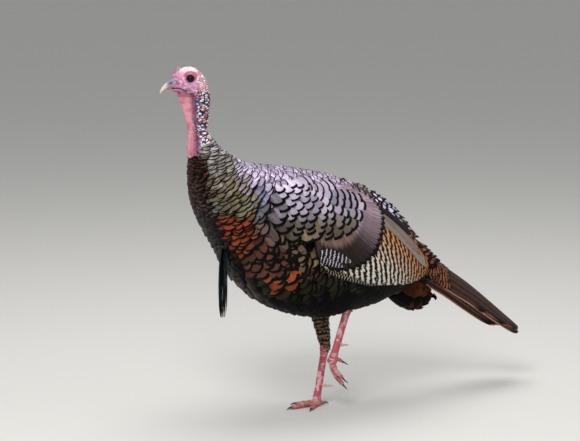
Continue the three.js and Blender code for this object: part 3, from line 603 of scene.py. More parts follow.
ZONES = [  # base, tip, rim share, band share, mask over x, y (from the midline), z, distance past the neck
    ("collar side", "#2E2823", "#736C67", 0.11, 0.44,
     lambda x, y, z, n: 1.5 * window(n, -30, 70, 18) * smooth_step(x, -345, -325)),
    ("collar back", "#5E5560", "#B3A7B5", 0.08, 0.50,
     lambda x, y, z, n: 1.5 * window(n, -30, 80, 20) * smooth_step(z, 640, 675) * smooth_step(x, -325, -300)),
    ("throat", "#080504", "#4A2418", 0.24, 0.28,
     lambda x, y, z, n: 2.2 * smooth_step(x, -326, -340) * smooth_step(z, 500, 540)),
    ("mantle", "#685C70", "#B0A1B8", 0.08, 0.50,
     lambda x, y, z, n: window(n, 60, 600, 20) * smooth_step(z, 560, 592) * smooth_step(x, 190, 90)
        * smooth_step(x, -292, -255)),
    ("shoulder", "#1E170E", "#65583F", 0.13, 0.40,
     lambda x, y, z, n: 1.7 * window(x, -340, -262, 20) * window(z, 556, 612, 14)),
    ("shoulder blue", "#201F26", "#68647A", 0.12, 0.42,
     lambda x, y, z, n: 1.7 * window(x, -240, -150, 22) * window(z, 552, 588, 12)),
    ("olive breast", "#1E1810", "#6E6550", 0.13, 0.38,
     lambda x, y, z, n: 1.4 * window(x, -318, -256, 12) * window(z, 520, 556, 10) * smooth_step(y, 60, 80)),
    ("dusky side", "#0E0D10", "#5E5C63", 0.13, 0.40,
     lambda x, y, z, n: 1.3 * window(x, -252, -190, 10) * window(z, 508, 554, 12)),
    ("breast copper", "#0C0402", "#84391F", 0.16, 0.34,
     lambda x, y, z, n: 1.3 * window(x, -312, -258, 10) * window(z, 432, 520, 12) * smooth_step(y, 45, 68)),
    # Painted shade: the front of the breast, turned from the light, is painted near black.
    ("breast front in painted shade", "#040302", "#2A130C", 0.24, 0.26,
     lambda x, y, z, n: 1.3 * smooth_step(y, 66, 44) * window(z, 330, 600, 30) * smooth_step(x, -190, -230)),
    ("fingers", "#0C0908", "#5E4E48", 0.12, 0.42,
     lambda x, y, z, n: 1.2 * window(x, -250, -120, 12) * window(z, 478, 520, 12)),
    ("middle flank", "#070504", "#4C2E22", 0.14, 0.32,
     lambda x, y, z, n: window(x, -250, -180, 20) * window(z, 396, 482, 14)),
    ("rear flank", "#090706", "#6E5F48", 0.14, 0.30,
     lambda x, y, z, n: window(x, -180, 60, 14) * window(z, 400, 482, 14)),
    ("lower flank", "#030302", "#242114", 0.12, 0.26,
     lambda x, y, z, n: window(x, -230, 160, 25) * window(z, 305, 360, 12)),
    ("brown flank", "#050403", "#463422", 0.12, 0.28,
     lambda x, y, z, n: window(x, -175, 40, 14) * window(z, 356, 402, 12)),
    ("copper patch", "#060302", "#8C4426", 0.13, 0.32,
     lambda x, y, z, n: 1.8 * window(x, -222, -166, 12) * window(z, 332, 398, 10) * smooth_step(y, 80, 100)),
    # Partly painted shade: the belly is sooty, and its colours are darkened further for the shade beneath the
    # body.
    ("belly", "#010101", "#060505", 0.16, 0.30,
     lambda x, y, z, n: 1.5 * smooth_step(z, 322, 300)),
    ("rump", "#080606", "#BDB1C8", 0.17, 0.24,
     lambda x, y, z, n: 1.3 * smooth_step(x, 85, 120) * smooth_step(z, 420, 450)),
    ("rump rear", "#0A0605", "#A8602F", 0.17, 0.26,
     lambda x, y, z, n: 1.6 * smooth_step(x, 165, 200) * smooth_step(z, 370, 400)),
    ("tail root", "#1C0D08", "#95502E", 0.18, 0.34,
     lambda x, y, z, n: 3.0 * smooth_step(x, 185, 215) * window(z, 250, 400, 14)),
    ("vent", "#020202", "#1E190D", 0.14, 0.28,
     lambda x, y, z, n: smooth_step(x, 60, 120) * smooth_step(z, 380, 330)),
]


def body_colours(p, light=0.38, mottle=0.7):
    """Weighted mix of the zones at points p, with a little chance for each feather."""
    x, y, z, n = p[:, 0], np.abs(p[:, 1] - MIDLINE_Y), p[:, 2], past_neck(p)
    weights = np.stack([zone[5](x, y, z, n) for zone in ZONES], 1) + 1e-4
    weights = weights * (1 - mottle + 2 * mottle * chance.random(weights.shape))
    weights = weights ** 2
    weights /= weights.sum(1, keepdims=True)
    base = weights @ np.array([linear(zone[1]) for zone in ZONES])
    tip = weights @ np.array([linear(zone[2]) for zone in ZONES])
    rim = weights @ np.array([zone[3] for zone in ZONES])
    band = weights @ np.array([zone[4] for zone in ZONES])
    gain = np.exp((chance.random((len(p), 1)) - 0.5) * 2 * light)
    marks = np.stack([rim, band, np.zeros(len(p))], 1)
    return base * gain, tip * gain, marks


def finger_share(p):
    """1 where the long finger-like feathers lie in front of the wing."""
    return window(p[..., 0], -238, -172, 14) * window(p[..., 2], 448, 540, 14)


def flank_share(p):
    """1 on the flank below the wing."""
    return smooth_step(p[..., 0], -262, -232) * window(p[..., 2], 290, 440, 16)


def body_row_gap(p):
    """Exposed length: small at the collar, larger behind, long on the side below the wing's front."""
    fingers, flank = finger_share(p), flank_share(p)
    rump = smooth_step(p[..., 0], 90, 130) * smooth_step(p[..., 2], 380, 430)
    common = np.minimum(5.6 + 0.035 * np.maximum(past_neck(p), 0), 13.0)
    return common + 19.0 * fingers + 9.0 * flank * (1 - fingers) + 6.0 * rump


def body_column_gap(p):
    """Exposed width, in the same way: the feathers are broad, but narrow where they are long."""
    fingers = finger_share(p)
    broad = np.minimum(18.0 + 0.05 * np.maximum(past_neck(p), 0), 22.0) + 9.0 * flank_share(p)
    return broad * (1 - fingers) + 14.0 * fingers - 3.0 * smooth_step(p[..., 0], 90, 130)


# %% [markdown]
# ## Contour feathers
# The tracts follow the solids' parting planes: collar, breast, back, belly, rump. Feathers that lie
# wholly under a folded wing are left out.

# %% Lay the body feathers
roots = rows_on(trunk, body_row_gap, body_column_gap, (2.6 / SECTIONS, 19.2 / SECTIONS))
place = trunk(roots[:, 0], roots[:, 1])
gap = body_row_gap(place)
_, run, across = normals(trunk, roots[:, 0], roots[:, 1])
roots[:, 0] += (chance.random(len(roots)) - 0.5) * 0.45 * gap / np.linalg.norm(run, axis=1)
roots[:, 1] += (chance.random(len(roots)) - 0.5) * 0.40 * body_column_gap(place) / np.linalg.norm(across, axis=1)
ahead = place + unit(run) * (gap * 2.4)[:, None]
centre = WING_OUTLINE.mean(0)
shrunk = centre + (WING_OUTLINE - centre) * 0.86
hidden = inside_outline(place[:, [0, 2]], shrunk) & inside_outline(ahead[:, [0, 2]], shrunk)
hidden &= np.abs(place[:, 1] - MIDLINE_Y) > 45
keep = (past_neck(place) > -4) & ~hidden
roots, place, gap = roots[keep], place[keep], gap[keep]
base, tip, marks = body_colours(place)
length = gap * (1.9 + 1.2 * chance.random(len(gap)))
rough = 1.2 + 1.2 * smooth_step(gap, 18, 28)
clump = (cloud(place, 50, 31) - 0.5) * 0.7
width = body_column_gap(place) * (1.20 + 0.75 * chance.random(len(gap)))
depth = np.minimum(2.0 + 0.05 * np.maximum(past_neck(place), 0), 9.0)
print("body feathers", len(roots))


def body_piece(name, chosen, material, slot, lift=0.0, blunt=2.6, taper=0.26):
    """One tract: the chosen feathers laid on the trunk as one piece."""
    tract = Tract(blunt=blunt, taper=taper)
    points = shingles(tract, trunk, roots[chosen], length[chosen], width[chosen], depth[chosen],
                      swing=clump[chosen], lift=lift, rough=rough[chosen], arch=0.06)
    tract.add(points, base[chosen], tip[chosen], BLACK, marks[chosen], home_on_body(roots[chosen]))
    tract.piece(name, material, slot)


behind_breast = (place[:, 0] - 20) * 245 - (place[:, 2] - 580) * 235 > 0
collar = past_neck(place) < 95
rear = place[:, 0] + (place[:, 2] - 420) * 0.35 > 120
upper = place[:, 2] > 500
body_piece("collar_feathers", collar, SATIN, "plumage_back")
body_piece("breast_feathers", ~collar & ~behind_breast & ~upper, SATIN, "plumage_breast")
body_piece("mantle_feathers", ~collar & ~rear & upper, SATIN, "plumage_back")
body_piece("belly_feathers", ~collar & behind_breast & ~rear & ~upper, DUSK, "plumage_belly")
body_piece("rump_feathers", ~collar & rear & (upper | behind_breast), SATIN, "plumage_back", lift=5.0,
           blunt=1.8, taper=0.4)

# %% [markdown]
# ## Wing coverts
# The small feathers of the folded wing lie in arcs round the shoulder, each arc's black rims joining
# into one dark crescent. Long coverts below them make a plain purple-brown panel, with the two short
# feathers of the bastard wing at its front.

# %% Lay the coverts
ARC_CENTRE = np.array([-100.0, 570.0])
ARC_STRETCH = np.array([1.33, 1.0])
REAR_EDGE = np.array([[60, 552], [96, 530], [115, 508], [119, 484], [109, 457], [94, 427], [76, 398], [48, 374],
                      [9, 361], [-42, 362], [-80, 388.0]])


def wing_vanes(tract, root, tip_at, width, side, root_proud, tip_proud, bend=0.0, arch=0.10):
    """Vanes on the wing from root to tip points of the side view, v towards the upper edge."""
    run = tip_at - root
    length = np.linalg.norm(run, axis=1)
    run = run / length[:, None]
    across = np.stack([-run[:, 1], run[:, 0]], 1) * (1 if side < 0 else -1)
    u, v, w = tract.u, tract.v, tract.w
    sideways = width[:, None] / 2 * w * v + (bend if side < 0 else -bend) * length[:, None] * np.sin(np.pi * u)
    x = root[:, 0, None] + run[:, 0, None] * length[:, None] * u + across[:, 0, None] * sideways
    z = root[:, 1, None] + run[:, 1, None] * length[:, None] * u + across[:, 1, None] * sideways
    root_proud = np.broadcast_to(root_proud, length.shape)[:, None]
    tip_proud = np.broadcast_to(tip_proud, length.shape)[:, None]
    proud = root_proud + (tip_proud - root_proud) * u ** 0.8 - arch * width[:, None] * (w * v) ** 2
    return wing_point(x, z, side, proud)


def home_on_wing(root):
    """A root's place on the wing's own flat layout."""
    return 0.04 + 0.92 * np.stack([(root[:, 0] + 230) / 540, (root[:, 1] - 270) / 340], 1).clip(0, 1)


def coverts(side):
    """Arcs of small coverts. Degrees run from first, over the back, to last, under the shoulder."""
    tract = Tract(steps=6, ribs=4, blunt=4.4, taper=0.10)
    radii = np.array([10, 22, 36, 52, 68, 83, 98, 112, 127, 143.0])
    first = -42
    for ring, radius in enumerate(radii):
        arc_gap = 20 + 0.05 * radius
        last = 165 if radius < 135 else 14
        sweep = last - first
        count = int(math.radians(sweep) * radius * 1.15 / arc_gap) + 2
        turn = np.radians(np.linspace(first, last, count) + (ring % 2) * 0.5 * sweep / count)
        turn = turn + (chance.random(count) - 0.5) * 0.09
        across, down = superellipse(turn, 2.9)
        out = np.stack([across, -down], 1) * ARC_STRETCH
        tips = ARC_CENTRE + out * radius * (1 + 0.05 * (chance.random((count, 1)) - 0.5))
        heading = np.radians(np.clip(np.degrees(turn) * 0.85, 4, 66)) + (chance.random(count) - 0.5) * 0.22
        run = np.stack([np.cos(heading), -np.sin(heading)], 1)
        size = 32 + 0.24 * radius
        root = tips - run * size
        ok = inside_outline(tips, WING_OUTLINE - [0, 7])
        root, tips = root[ok], tips[ok]
        wide = arc_gap * (1.45 + 0.3 * chance.random(len(root)))
        low = smooth_step(tips[:, 1], 515, 455)[:, None]
        pale = cloud(np.stack([tips[:, 0], tips[:, 1], tips[:, 0] * 0], 1), 26, 4)[:, None]
        tint = linear("#D2C2DA") * (1 - low) + linear("#84765F") * low
        tint = tint * (0.43 + 0.50 * pale) * np.exp((chance.random((len(root), 1)) - 0.5) * 0.5)
        tint = tint * (1 - 0.5 * smooth_step(tips[:, 0], -125, -165) * smooth_step(tips[:, 1], 560, 520))[:, None]
        base_tint = tint * 0.30
        rim = (4.4 + 3.2 * smooth_step(radius, 30, 90)) / size
        marks = np.array([rim, 0.5, 0.0])
        front = smooth_step(root[:, 0], -110, -190) * 8
        level = -1.0 - 0.1 * ring
        tract.add(wing_vanes(tract, root, tips, wide, side, -7.0 - front, level - front * 0.6), base_tint, tint,
                  BLACK, marks, home_on_wing(root))
    return tract


def panel(side):
    """The greater coverts: long smooth vanes whose tips make the panel's dark rear edge."""
    tract = Tract(steps=9, ribs=6, blunt=2.2, patch=0.03, taper=0.12)
    count = 25
    share = np.linspace(0, 1, count)
    tips = through(REAR_EDGE, share)
    root = ARC_CENTRE + (tips - ARC_CENTRE) * 0.40 + np.array([-6, 10.0])
    wide = np.linspace(29, 24, count)
    order = np.linspace(-2.2, -3.8, count)
    low = smooth_step(tips[:, 1], 490, 370)[:, None]
    vary = np.exp((chance.random((count, 1)) - 0.5) * 0.5)
    base_tint = (linear("#A791AA") * (1 - low) + linear("#66524A") * low) * vary
    tip_tint = (linear("#7E6A74") * (1 - low) + linear("#211915") * low) * vary
    marks = np.array([0.065, 0.40, 0.0])
    tract.add(wing_vanes(tract, root, tips, wide, side, -6.0, order, bend=-0.03), base_tint, tip_tint, BLACK,
              marks, home_on_wing(root))
    return tract


def alula(side):
    """The bastard wing: two short pointed feathers with a few pale bars, at the front of the panel."""
    tract = Tract(steps=10, ribs=4, blunt=1.6, patch=0.03, taper=0.5)
    root = np.array([[-90, 402], [-90, 416.0]])
    tips = np.array([[-24, 374], [-1, 384.0]])
    tract.add(wing_vanes(tract, root, tips, np.array([22, 28.0]), side, 0.2, np.array([0.4, 1.4]), arch=0.05),
              linear("#171215"), linear("#50464C"), linear("#BDB6C0"), np.array([0.0, 0.12, 8.0]),
              home_on_wing(root))
    return tract


def joined(*tracts):
    """Several tracts of the same grid as one."""
    first = tracts[0]
    for other in tracts[1:]:
        for label in ("points", "base", "tip", "ink", "marks", "home"):
            getattr(first, label).extend(getattr(other, label))
    return first


for side, word in ((-1, "left"), (1, "right")):
    coverts(side).piece(f"coverts_{word}_feathers", SATIN, "wing")
    panel(side).piece(f"panel_{word}_feathers", PANEL, "wing", [f"wing_coverts_{word}"])
    alula(side).piece(f"alula_{word}_feathers", BARRED, "wing")

# %% [markdown]
# ## Flight feathers
# The secondaries are stacked like a closed fan, the inner ones on top, so each shows a strip of its
# outer web. Cream and dark brown bars cross them aslant. Over them lie the tertials, one dark and two
# grey-brown, and below them peep the black, finely barred primaries.

# %% Lay the flight feathers
SECONDARY_TIPS = np.array([[92, 328], [122, 319], [152, 313], [182, 307], [210, 303], [234, 304], [250, 312],
                           [257, 328.0]])
SECONDARY_ROOTS = np.array([[-90, 398], [-70, 412], [-48, 428], [-25, 446], [0, 466], [22, 488], [40, 508],
                            [52, 525.0]])


def secondaries(side):
    """Nine barred secondaries, outermost first."""
    tract = Tract(steps=12, ribs=6, blunt=2.4, patch=0.05, taper=0.10)
    count = 9
    share = np.linspace(0, 1, count)
    tips, root = through(SECONDARY_TIPS, share), through(SECONDARY_ROOTS, share)
    orange = smooth_step(share, 0.25, 0.9)[:, None]
    cream = linear("#CFC8BC") * (1 - orange) + linear("#B57C50") * orange
    brown = linear("#120C0A") * (1 - orange) + linear("#2A150C") * orange
    length = np.linalg.norm(tips - root, axis=1)
    bars = length / 19.0 + chance.random(count) - 0.5
    marks = np.stack([0 * length + 0.012, 0 * length + 0.05, bars], 1)
    proud = np.linspace(-7.5, -3.4, count)
    tract.add(wing_vanes(tract, root, tips, np.full(count, 46.0), side, proud - 2, proud, bend=0.03, arch=0.08),
              cream, cream, brown, marks, home_on_wing(root))
    return tract


def tertials(side):
    """A dark feather and two plain grey-brown ones along the wing's upper edge."""
    tract = Tract(steps=12, ribs=6, blunt=2.0, patch=0.05, taper=0.22)
    root = np.array([[44, 536], [38, 534], [46, 538.0]])
    tips = np.array([[206, 424], [256, 334], [222, 376.0]])
    colour = np.array([linear("#1B1413"), linear("#8F8078"), linear("#7C6C66")])
    tract.add(wing_vanes(tract, root, tips, np.array([30, 25, 20.0]), side, -4.8, np.array([-2.6, -1.4, -0.6]),
                         bend=0.02, arch=0.08),
              colour * 0.8, colour, linear("#8A4F2E"), np.array([0.03, 0.4, 0.0]), home_on_wing(root))
    return tract


def primaries(side):
    """The tips of the folded primaries, black with narrow cream bars."""
    tract = Tract(steps=12, ribs=4, blunt=1.8, patch=0.05, taper=0.2)
    count = 6
    share = np.linspace(0, 1, count)[:, None]
    root = np.array([-70, 372.0]) + share * np.array([60, 8.0])
    tips = np.array([112, 311.0]) + share * np.array([146, -14.0])
    length = np.linalg.norm(tips - root, axis=1)
    marks = np.stack([0 * length, 0 * length + 0.05, length / 9.0 + chance.random(count)], 1)
    proud = np.linspace(-12, -9, count)
    tract.add(wing_vanes(tract, root, tips, np.full(count, 26.0), side, proud, proud, bend=-0.02, arch=0.05),
              linear("#0F0B0A"), linear("#0F0B0A"), linear("#B9B08E"), marks, home_on_wing(root))
    return tract


for side, word in ((-1, "left"), (1, "right")):
    joined(secondaries(side), tertials(side)).piece(
        f"secondaries_{word}_feathers", FLIGHT, "wing", [f"wing_secondaries_{word}"])
    primaries(side).piece(f"primaries_{word}_feathers", BARRED, "wing", [f"wing_primaries_{word}"])

# %% [markdown]
# ## The tail
# Twenty quills fold into a steep roof, eleven on the near side and nine on the far one. They step
# down from the ridge, most a little shorter than the one before, and a few of the near ones lie out
# of line. They are chestnut, finely barred, with a dark zone and a buff tip.

# %% Lay the tail feathers
NEAR = [  # place round the roof (quills from the ridge), end, height of each quill of the near side
    (0, 1.0, -1.0), (1, 0.985, -1.6), (2, 0.97, -2.2), (3, 0.955, -2.8), (4, 0.94, -3.4), (5, 0.92, -4.0),
    (6, 0.90, -4.6), (7, 0.95, -7.0), (8, 0.93, -8.0), (7, 0.74, -5.2), (8, 0.56, -5.8)]
FAR = [(k, 0.99 - 0.0022 * k ** 2, -1.0 - 0.55 * k) for k in range(9)]


def tail_quills():
    """The quills of both sides, from the ridge to the lower edge."""
    tract = Tract(steps=18, ribs=6, blunt=2.0, patch=0.06, taper=0.10)
    u, v, w = tract.u, tract.v, tract.w
    for side, quills in ((-1, NEAR), (1, FAR)):
        for number, (k, end, height) in enumerate(quills):
            middle = math.radians(3 + 9.9 * k)
            half = math.radians(16 - 0.4 * k)
            along = -0.02 + (end + 0.02) * u
            angle = side * np.clip(middle + half * w * v, -0.1, math.radians(93))
            points = tail_roof(along, angle, height + 1.0 * u - 3.0 * (w * v) ** 2)[None]
            if side < 0:
                points = points.reshape(1, tract.steps + 1, tract.ribs + 1, 3)[:, :, ::-1].reshape(1, -1, 3)
            gain = (1.5 if k % 2 == 0 else 0.7) + 0.5 * chance.random()
            home = np.array([[0.06 + 0.085 * number, 0.25 if side < 0 else 0.75]])
            tract.add(points, linear("#8E6656") * gain, linear("#0C0706"), linear("#150C08"),
                      np.array([0.03, 0.11, 58.0]), home)
    return tract


# Painted shade and highlight across each quill: the middle of the vane is darkened for the shade of the quill
# lying over it, and its edges are brightened for light on the exposed rim.
TAIL_KERATIN = plumage("tail quill keratin, satin", 0.08, 0.46, streaks=0.3, bar_skew=0.6, bar_share=0.34,
                       rim_colour="#B5713F", edge=(0.42, 0.90, 0.16, 1.7))
tail_quills().piece("tail_feathers", TAIL_KERATIN, "tail", ["tail"])

# %% [markdown]
# ## Tail coverts
# Long feathers hide the roots of the quills: barred chestnut and black above, and below a soft dark
# cushion whose feathers end in rust.

# %% Lay the tail coverts
roots = rows_on(tail_roof, even(24), even(15), (-0.16, 0.12), (-math.radians(80), math.radians(80)))
tract = Tract(steps=7, ribs=4, blunt=3.0)
count = len(roots)
over = shingles(tract, tail_roof, roots, 70 + 25 * chance.random(count), np.full(count, 30.0),
                np.full(count, 2.0), lift=2.0)
tract.add(over, linear("#6E3D2A"), linear("#8A5236"), linear("#0E0908"), np.array([0.05, 0.3, 9.0]),
          home_on_body(roots))
tract.piece("upper_tail_coverts", FLIGHT, "tail")

roots = rows_on(undertail, even(27), even(19), (0.02, 0.80), (math.radians(35), math.radians(325)))
tract = Tract(steps=6, ribs=4, blunt=3.0)
count = len(roots)
under = shingles(tract, undertail, roots, 58 + 16 * chance.random(count), np.full(count, 34.0),
                 np.full(count, 7.0), rough=2.0)
chestnut = smooth_step(undertail(roots[:, 0], roots[:, 1])[:, 2], 266, 290)[:, None]
tract.add(under, linear("#050303") + linear("#43200F") * chestnut,
          linear("#140906") + linear("#4E2614") * chestnut,
          linear("#623219"), np.array([0.09, 0.22, 0.0]), home_on_body(roots))
tract.piece("undertail_coverts", MATT, "tail", ["tail_coverts_lower"])

# %% [markdown]
# ## The beard
# A gobbler's beard is a tuft of coarse bristles, modified feathers, that hangs from the breast. Each
# bristle is one long thin vane from the tuft's root, with its own length and a slight wave.

# %% Hang the bristles
BEARD = np.array([
    [-254, 456, -268, 462, 6], [-261, 438, -276, 443, 8], [-266, 400, -285, 402, 9.5],
    [-267, 345, -288, 345, 10.5], [-268, 290, -287, 290, 9.5], [-272, 262, -284, 261, 5],
    [-275, 256, -281, 255, 2]])
BEARD_ASIDE = np.array([0, -24.0, 0])    # it hangs a little left of the midline


def beard_bristles(count=230):
    """Vanes that run down inside the tuft's sections, each at its own share of the way to the outside."""
    tract = Tract(steps=9, ribs=2, blunt=2.0, patch=0.03)
    turn = chance.random(count) * 2 * math.pi
    share = np.sqrt(chance.random(count)) * 0.96
    end = 0.42 + 0.58 * chance.random(count) ** 0.8
    u, v, w = tract.u, tract.v, tract.w
    along = end[:, None] * u
    wave = 0.34 * np.sin(u * 9 + turn[:, None] * 5) * u
    outside = lofted(BEARD, along, turn[:, None] + wave)
    middle = (lofted(BEARD, along, 0 * along) + lofted(BEARD, along, 0 * along + math.pi)) / 2
    line = middle + (outside - middle) * (share[:, None] * (0.86 + 0.34 * along))[..., None] + BEARD_ASIDE
    thick = 0.95 * (v * w) * (1 - 0.6 * u)
    sideways = np.stack([np.sin(turn), np.cos(turn), 0 * turn], 1)
    points = line + sideways[:, None, :] * thick[..., None]
    gain = 0.5 + 1.4 * chance.random((count, 1)) ** 2
    home = np.stack([0.05 + 0.9 * turn / (2 * math.pi), 0.05 + 0.9 * share], 1)
    tract.add(points, linear("#1C2124") * gain, linear("#15181A") * gain, BLACK, np.array([0.0, 0.3, 0.0]), home)
    return tract


BRISTLE = plumage("beard bristle keratin", 0.0, 0.45, streaks=0.2)
beard_bristles().piece("beard_bristles", BRISTLE, "beard", ["beard"])

# %% [markdown]
# ## One skin
# Under the feathers and out to the bare head, neck and legs runs one skin. Its parts are lofted as
# closed forms, run into one another, and are then melted together by a voxel remesh, which leaves
# soft natural joins. The folds, warts and scales are pushed out of the melted surface afterwards.

# %% Closed lofts for the flesh
HEAD_VOXEL, LEG_VOXEL = 1.5, 1.85    # millimetres; together they keep the skin under 200,000 triangles


def closed_tube(ring, rings, sides):
    """Vertices and faces of a tube of rings with a pole at each end; ring(along, angle) gives points."""
    along = np.linspace(0, 1, rings)[:, None]
    angle = np.linspace(0, 2 * math.pi, sides, endpoint=False)[None, :]
    body = ring(along + 0 * angle, angle + 0 * along)
    poles = body[[0, -1]].mean(1)
    points = np.concatenate([body.reshape(-1, 3), poles])
    i, j = np.meshgrid(np.arange(rings - 1), np.arange(sides), indexing="ij")
    a, b = (i * sides + j).ravel(), (i * sides + (j + 1) % sides).ravel()
    quads = np.stack([a, b, b + sides, a + sides], -1).tolist()
    j = np.arange(sides)
    first, last = rings * sides, rings * sides + 1
    caps = np.concatenate([np.stack([np.full(sides, first), (j + 1) % sides, j], -1),
                           np.stack([np.full(sides, last), (rings - 1) * sides + j,
                                     (rings - 1) * sides + (j + 1) % sides], -1)]).tolist()
    faces = quads + caps
    a, b, c = (points[[face[k] for face in faces]] for k in range(3))
    if np.sum(a * np.cross(b, c)) < 0:
        faces = [face[::-1] for face in faces]
    return points, faces


def melted(name, forms, voxel, smoothing):
    """Closed forms joined and remeshed at one voxel size; gives back points in mm and quads."""
    points = np.concatenate([form[0] for form in forms])
    starts = np.cumsum([0] + [len(form[0]) for form in forms[:-1]])
    faces = [[k + start for k in face] for start, form in zip(starts, forms) for face in form[1]]
    mesh = bpy.data.meshes.new(name)
    mesh.from_pydata((points * MM).tolist(), [], faces)
    lump = bpy.data.objects.new(name, mesh)
    bpy.context.scene.collection.objects.link(lump)
    remesh = lump.modifiers.new("melt", "REMESH")
    remesh.mode = "VOXEL"
    remesh.voxel_size = voxel * MM
    smooth = lump.modifiers.new("soften", "SMOOTH")
    smooth.iterations = smoothing
    shape = lump.evaluated_get(bpy.context.evaluated_depsgraph_get()).to_mesh()
    count = len(shape.vertices)
    done = np.zeros(count * 3)
    shape.vertices.foreach_get("co", done)
    quads = np.zeros(len(shape.polygons) * 4, np.int64)
    shape.polygons.foreach_get("vertices", quads)
    bpy.data.objects.remove(lump)
    bpy.data.meshes.remove(mesh)
    print(name, count, "points")
    return done.reshape(-1, 3) / MM, quads.reshape(-1, 4)


def vertex_normals(points, quads):
    """Normals from the diagonals of the quads round each vertex."""
    a, b, c, d = (points[quads[:, k]] for k in range(4))
    face = np.cross(c - a, d - b)
    total = np.zeros_like(points)
    for k in range(4):
        np.add.at(total, quads[:, k], face)
    return unit(total)


# %% [markdown]
# ## The head's own frame
# The head looks a little to the bird's right, so its forms are given forward of the eyes, above
# them and sideways. Rows are the same sections as the solid head's, slightly fuller at the brow.

# %% Head forms
HEAD_TURN = math.radians(25)
HEAD_ORIGIN = np.array([-341.6, -1, 821.2])
HEAD_SCALE = 0.965
HEAD_SQUARENESS = 2.1
FORWARD = np.array([-math.cos(HEAD_TURN), math.sin(HEAD_TURN), 0])
SIDEWAYS = np.array([math.sin(HEAD_TURN), math.cos(HEAD_TURN), 0])
EYE_RADIUS, EYE_DEPTH = 9.2, 11.8
HEAD = np.array([[46, -3, 46, -23, 7], [40, 6, 38, -31, 10.5], [31, 16, 30, -34.5, 14.5], [18, 24.5, 18, -36, 18],
                 [4, 26.5, 4, -37, 20], [-11, 24, -10, -37, 20.5], [-22, 14.5, -21, -36, 19.5],
                 [-31, 5, -28, -35, 17], [-38, -6, -33, -33, 13], [-41, -15, -36, -29, 7]])
UPPER_BILL = np.array([[40, 4, 36, -24.2, 9.5], [48, -2, 46, -24.4, 8.6], [54, -8.5, 54, -25.2, 7.4],
                       [62, -15.5, 61, -28.2, 5.6], [69, -23.5, 67, -32.5, 3.6], [73, -33, 71, -37, 1.5],
                       [73.3, -36.6, 72.3, -38, 0.5]])
LOWER_BILL = np.array([[18, -26.2, 20, -34.8, 9.6], [31, -25, 32, -34.4, 9.2], [43, -25.2, 43, -32.4, 7.6],
                       [52, -26.6, 51, -31, 5.4], [59.5, -29.6, 58.5, -31.4, 2.6]])
SNOOD = np.array([[22, 13, 44, 2, 9.5], [23, 20, 43, 9, 8.5], [25, 25, 39, 17, 7], [27, 29, 34, 25, 3.5]])
DEWLAP = np.array([[-370, 13, 790, -334, 2, 790, 9], [-363, 9, 762, -328, -6, 766, 8],
                   [-356, 0, 733, -332, -10, 737, 7.5], [-353, -7, 706, -338, -12, 709, 7],
                   [-355, -11, 682, -340, -12, 686, 6.5], [-357, -12, 657, -340, -12, 660, 6],
                   [-353, -12, 636, -343, -12, 638, 4]])


def in_head(forward, rise, side):
    """A point of the head's frame, in the bird's axes."""
    return (HEAD_ORIGIN + FORWARD * (forward * HEAD_SCALE)[..., None] + SIDEWAYS * side[..., None]
            + np.array([0, 0, 1.0]) * (rise * HEAD_SCALE)[..., None])


def to_head(points):
    """Forward, rise and side of points given in the bird's axes."""
    away = points - HEAD_ORIGIN
    return away @ FORWARD / HEAD_SCALE, away[:, 2] / HEAD_SCALE, away @ SIDEWAYS


def head_form(rows):
    """A loft in the head's frame: section middle, height share and sideways share, as on the trunk."""
    def ring(along, angle):
        row = through(rows, along)
        up, across = superellipse(angle, HEAD_SQUARENESS)
        middle, spread = (row[..., 0:2] + row[..., 2:4]) / 2, (row[..., 0:2] - row[..., 2:4]) / 2
        flat = middle + spread * up[..., None]
        return in_head(flat[..., 0], flat[..., 1], across * np.maximum(row[..., 4], 0.3))
    return ring


def dewlap_form(along, angle):
    """The hanging fold from chin to breast: an ellipse between its front and rear edges."""
    row = through(DEWLAP, along)
    front, rear = row[..., 0:3], row[..., 3:6]
    up, across = superellipse(angle, 2)
    turned = unit(SIDEWAYS * (1 - along[..., None]) + np.array([0, 1.0, 0]) * along[..., None])
    return ((front + rear) / 2 + (front - rear) / 2 * up[..., None]
            + turned * (across * row[..., 6])[..., None])


def neck_form(along, angle):
    """The neck from inside the head down into the collar, thinner where feathers cover it."""
    section = (0.15 + 7.35 * along) / SECTIONS
    return trunk(section, angle, -0.4 - 9.0 * smooth_step(along, 0.5, 0.95))


head_points, head_quads = melted("head skin", [
    closed_tube(head_form(HEAD), 40, 40), closed_tube(head_form(SNOOD), 14, 20),
    closed_tube(dewlap_form, 40, 20), closed_tube(neck_form, 50, 40)], HEAD_VOXEL, 2)

# %% [markdown]
# ## Folds of the face and neck
# The crown is smooth and pebbled, the brow swollen, the cheek soft; behind the ear the nape carries
# rows of small warts that run together into ridges. Each is a height added along the normal.

# %% Raise the folds
face = vertex_normals(head_points, head_quads)
f, z, s = to_head(head_points)
side_out = np.abs(s)
eye_away = np.hypot(f, z)
is_head = smooth_step(z, -42, -34)
nape = smooth_step(f, -13, -21) * is_head + (1 - is_head) * smooth_step(head_points[:, 2], 640, 700)
lower = 20 * smooth_step(z, -60, -120)
nape = nape * (1 - smooth_step(f, -16 + lower, -6 + lower) * (1 - is_head) * 0.95)
swirl = (cloud(head_points, 9, 16) - 0.5) * 7
flat_points = (head_points + np.stack([0 * swirl, 0 * swirl, swirl], 1)) * np.array([0.58, 0.58, 1.40])
ridge_near, ridge_next, ridge_number = pebbles(flat_points, 5.8, 3)
small_near, small_next, small_number = pebbles(head_points * np.array([0.8, 0.8, 1.3]), 4.0, 4)
ridged = 1 - smooth_step(z, -36, -22) * is_head
wart = np.where(ridged > 0.5, smooth_step(ridge_next - ridge_near, 0.0, 0.34),
                smooth_step(small_next - small_near, 0.0, 0.35))
wart_number = np.where(ridged > 0.5, ridge_number, small_number)
fine_near, fine_next, _ = pebbles(head_points, 2.6, 8)
fine = smooth_step(fine_next - fine_near, 0.0, 0.5)
fold = cloud(head_points * np.array([1, 1, 0.5]), 7, 5)
wrinkle = cloud(head_points * np.array([0.8, 0.8, 1.2]), 3.6, 14)
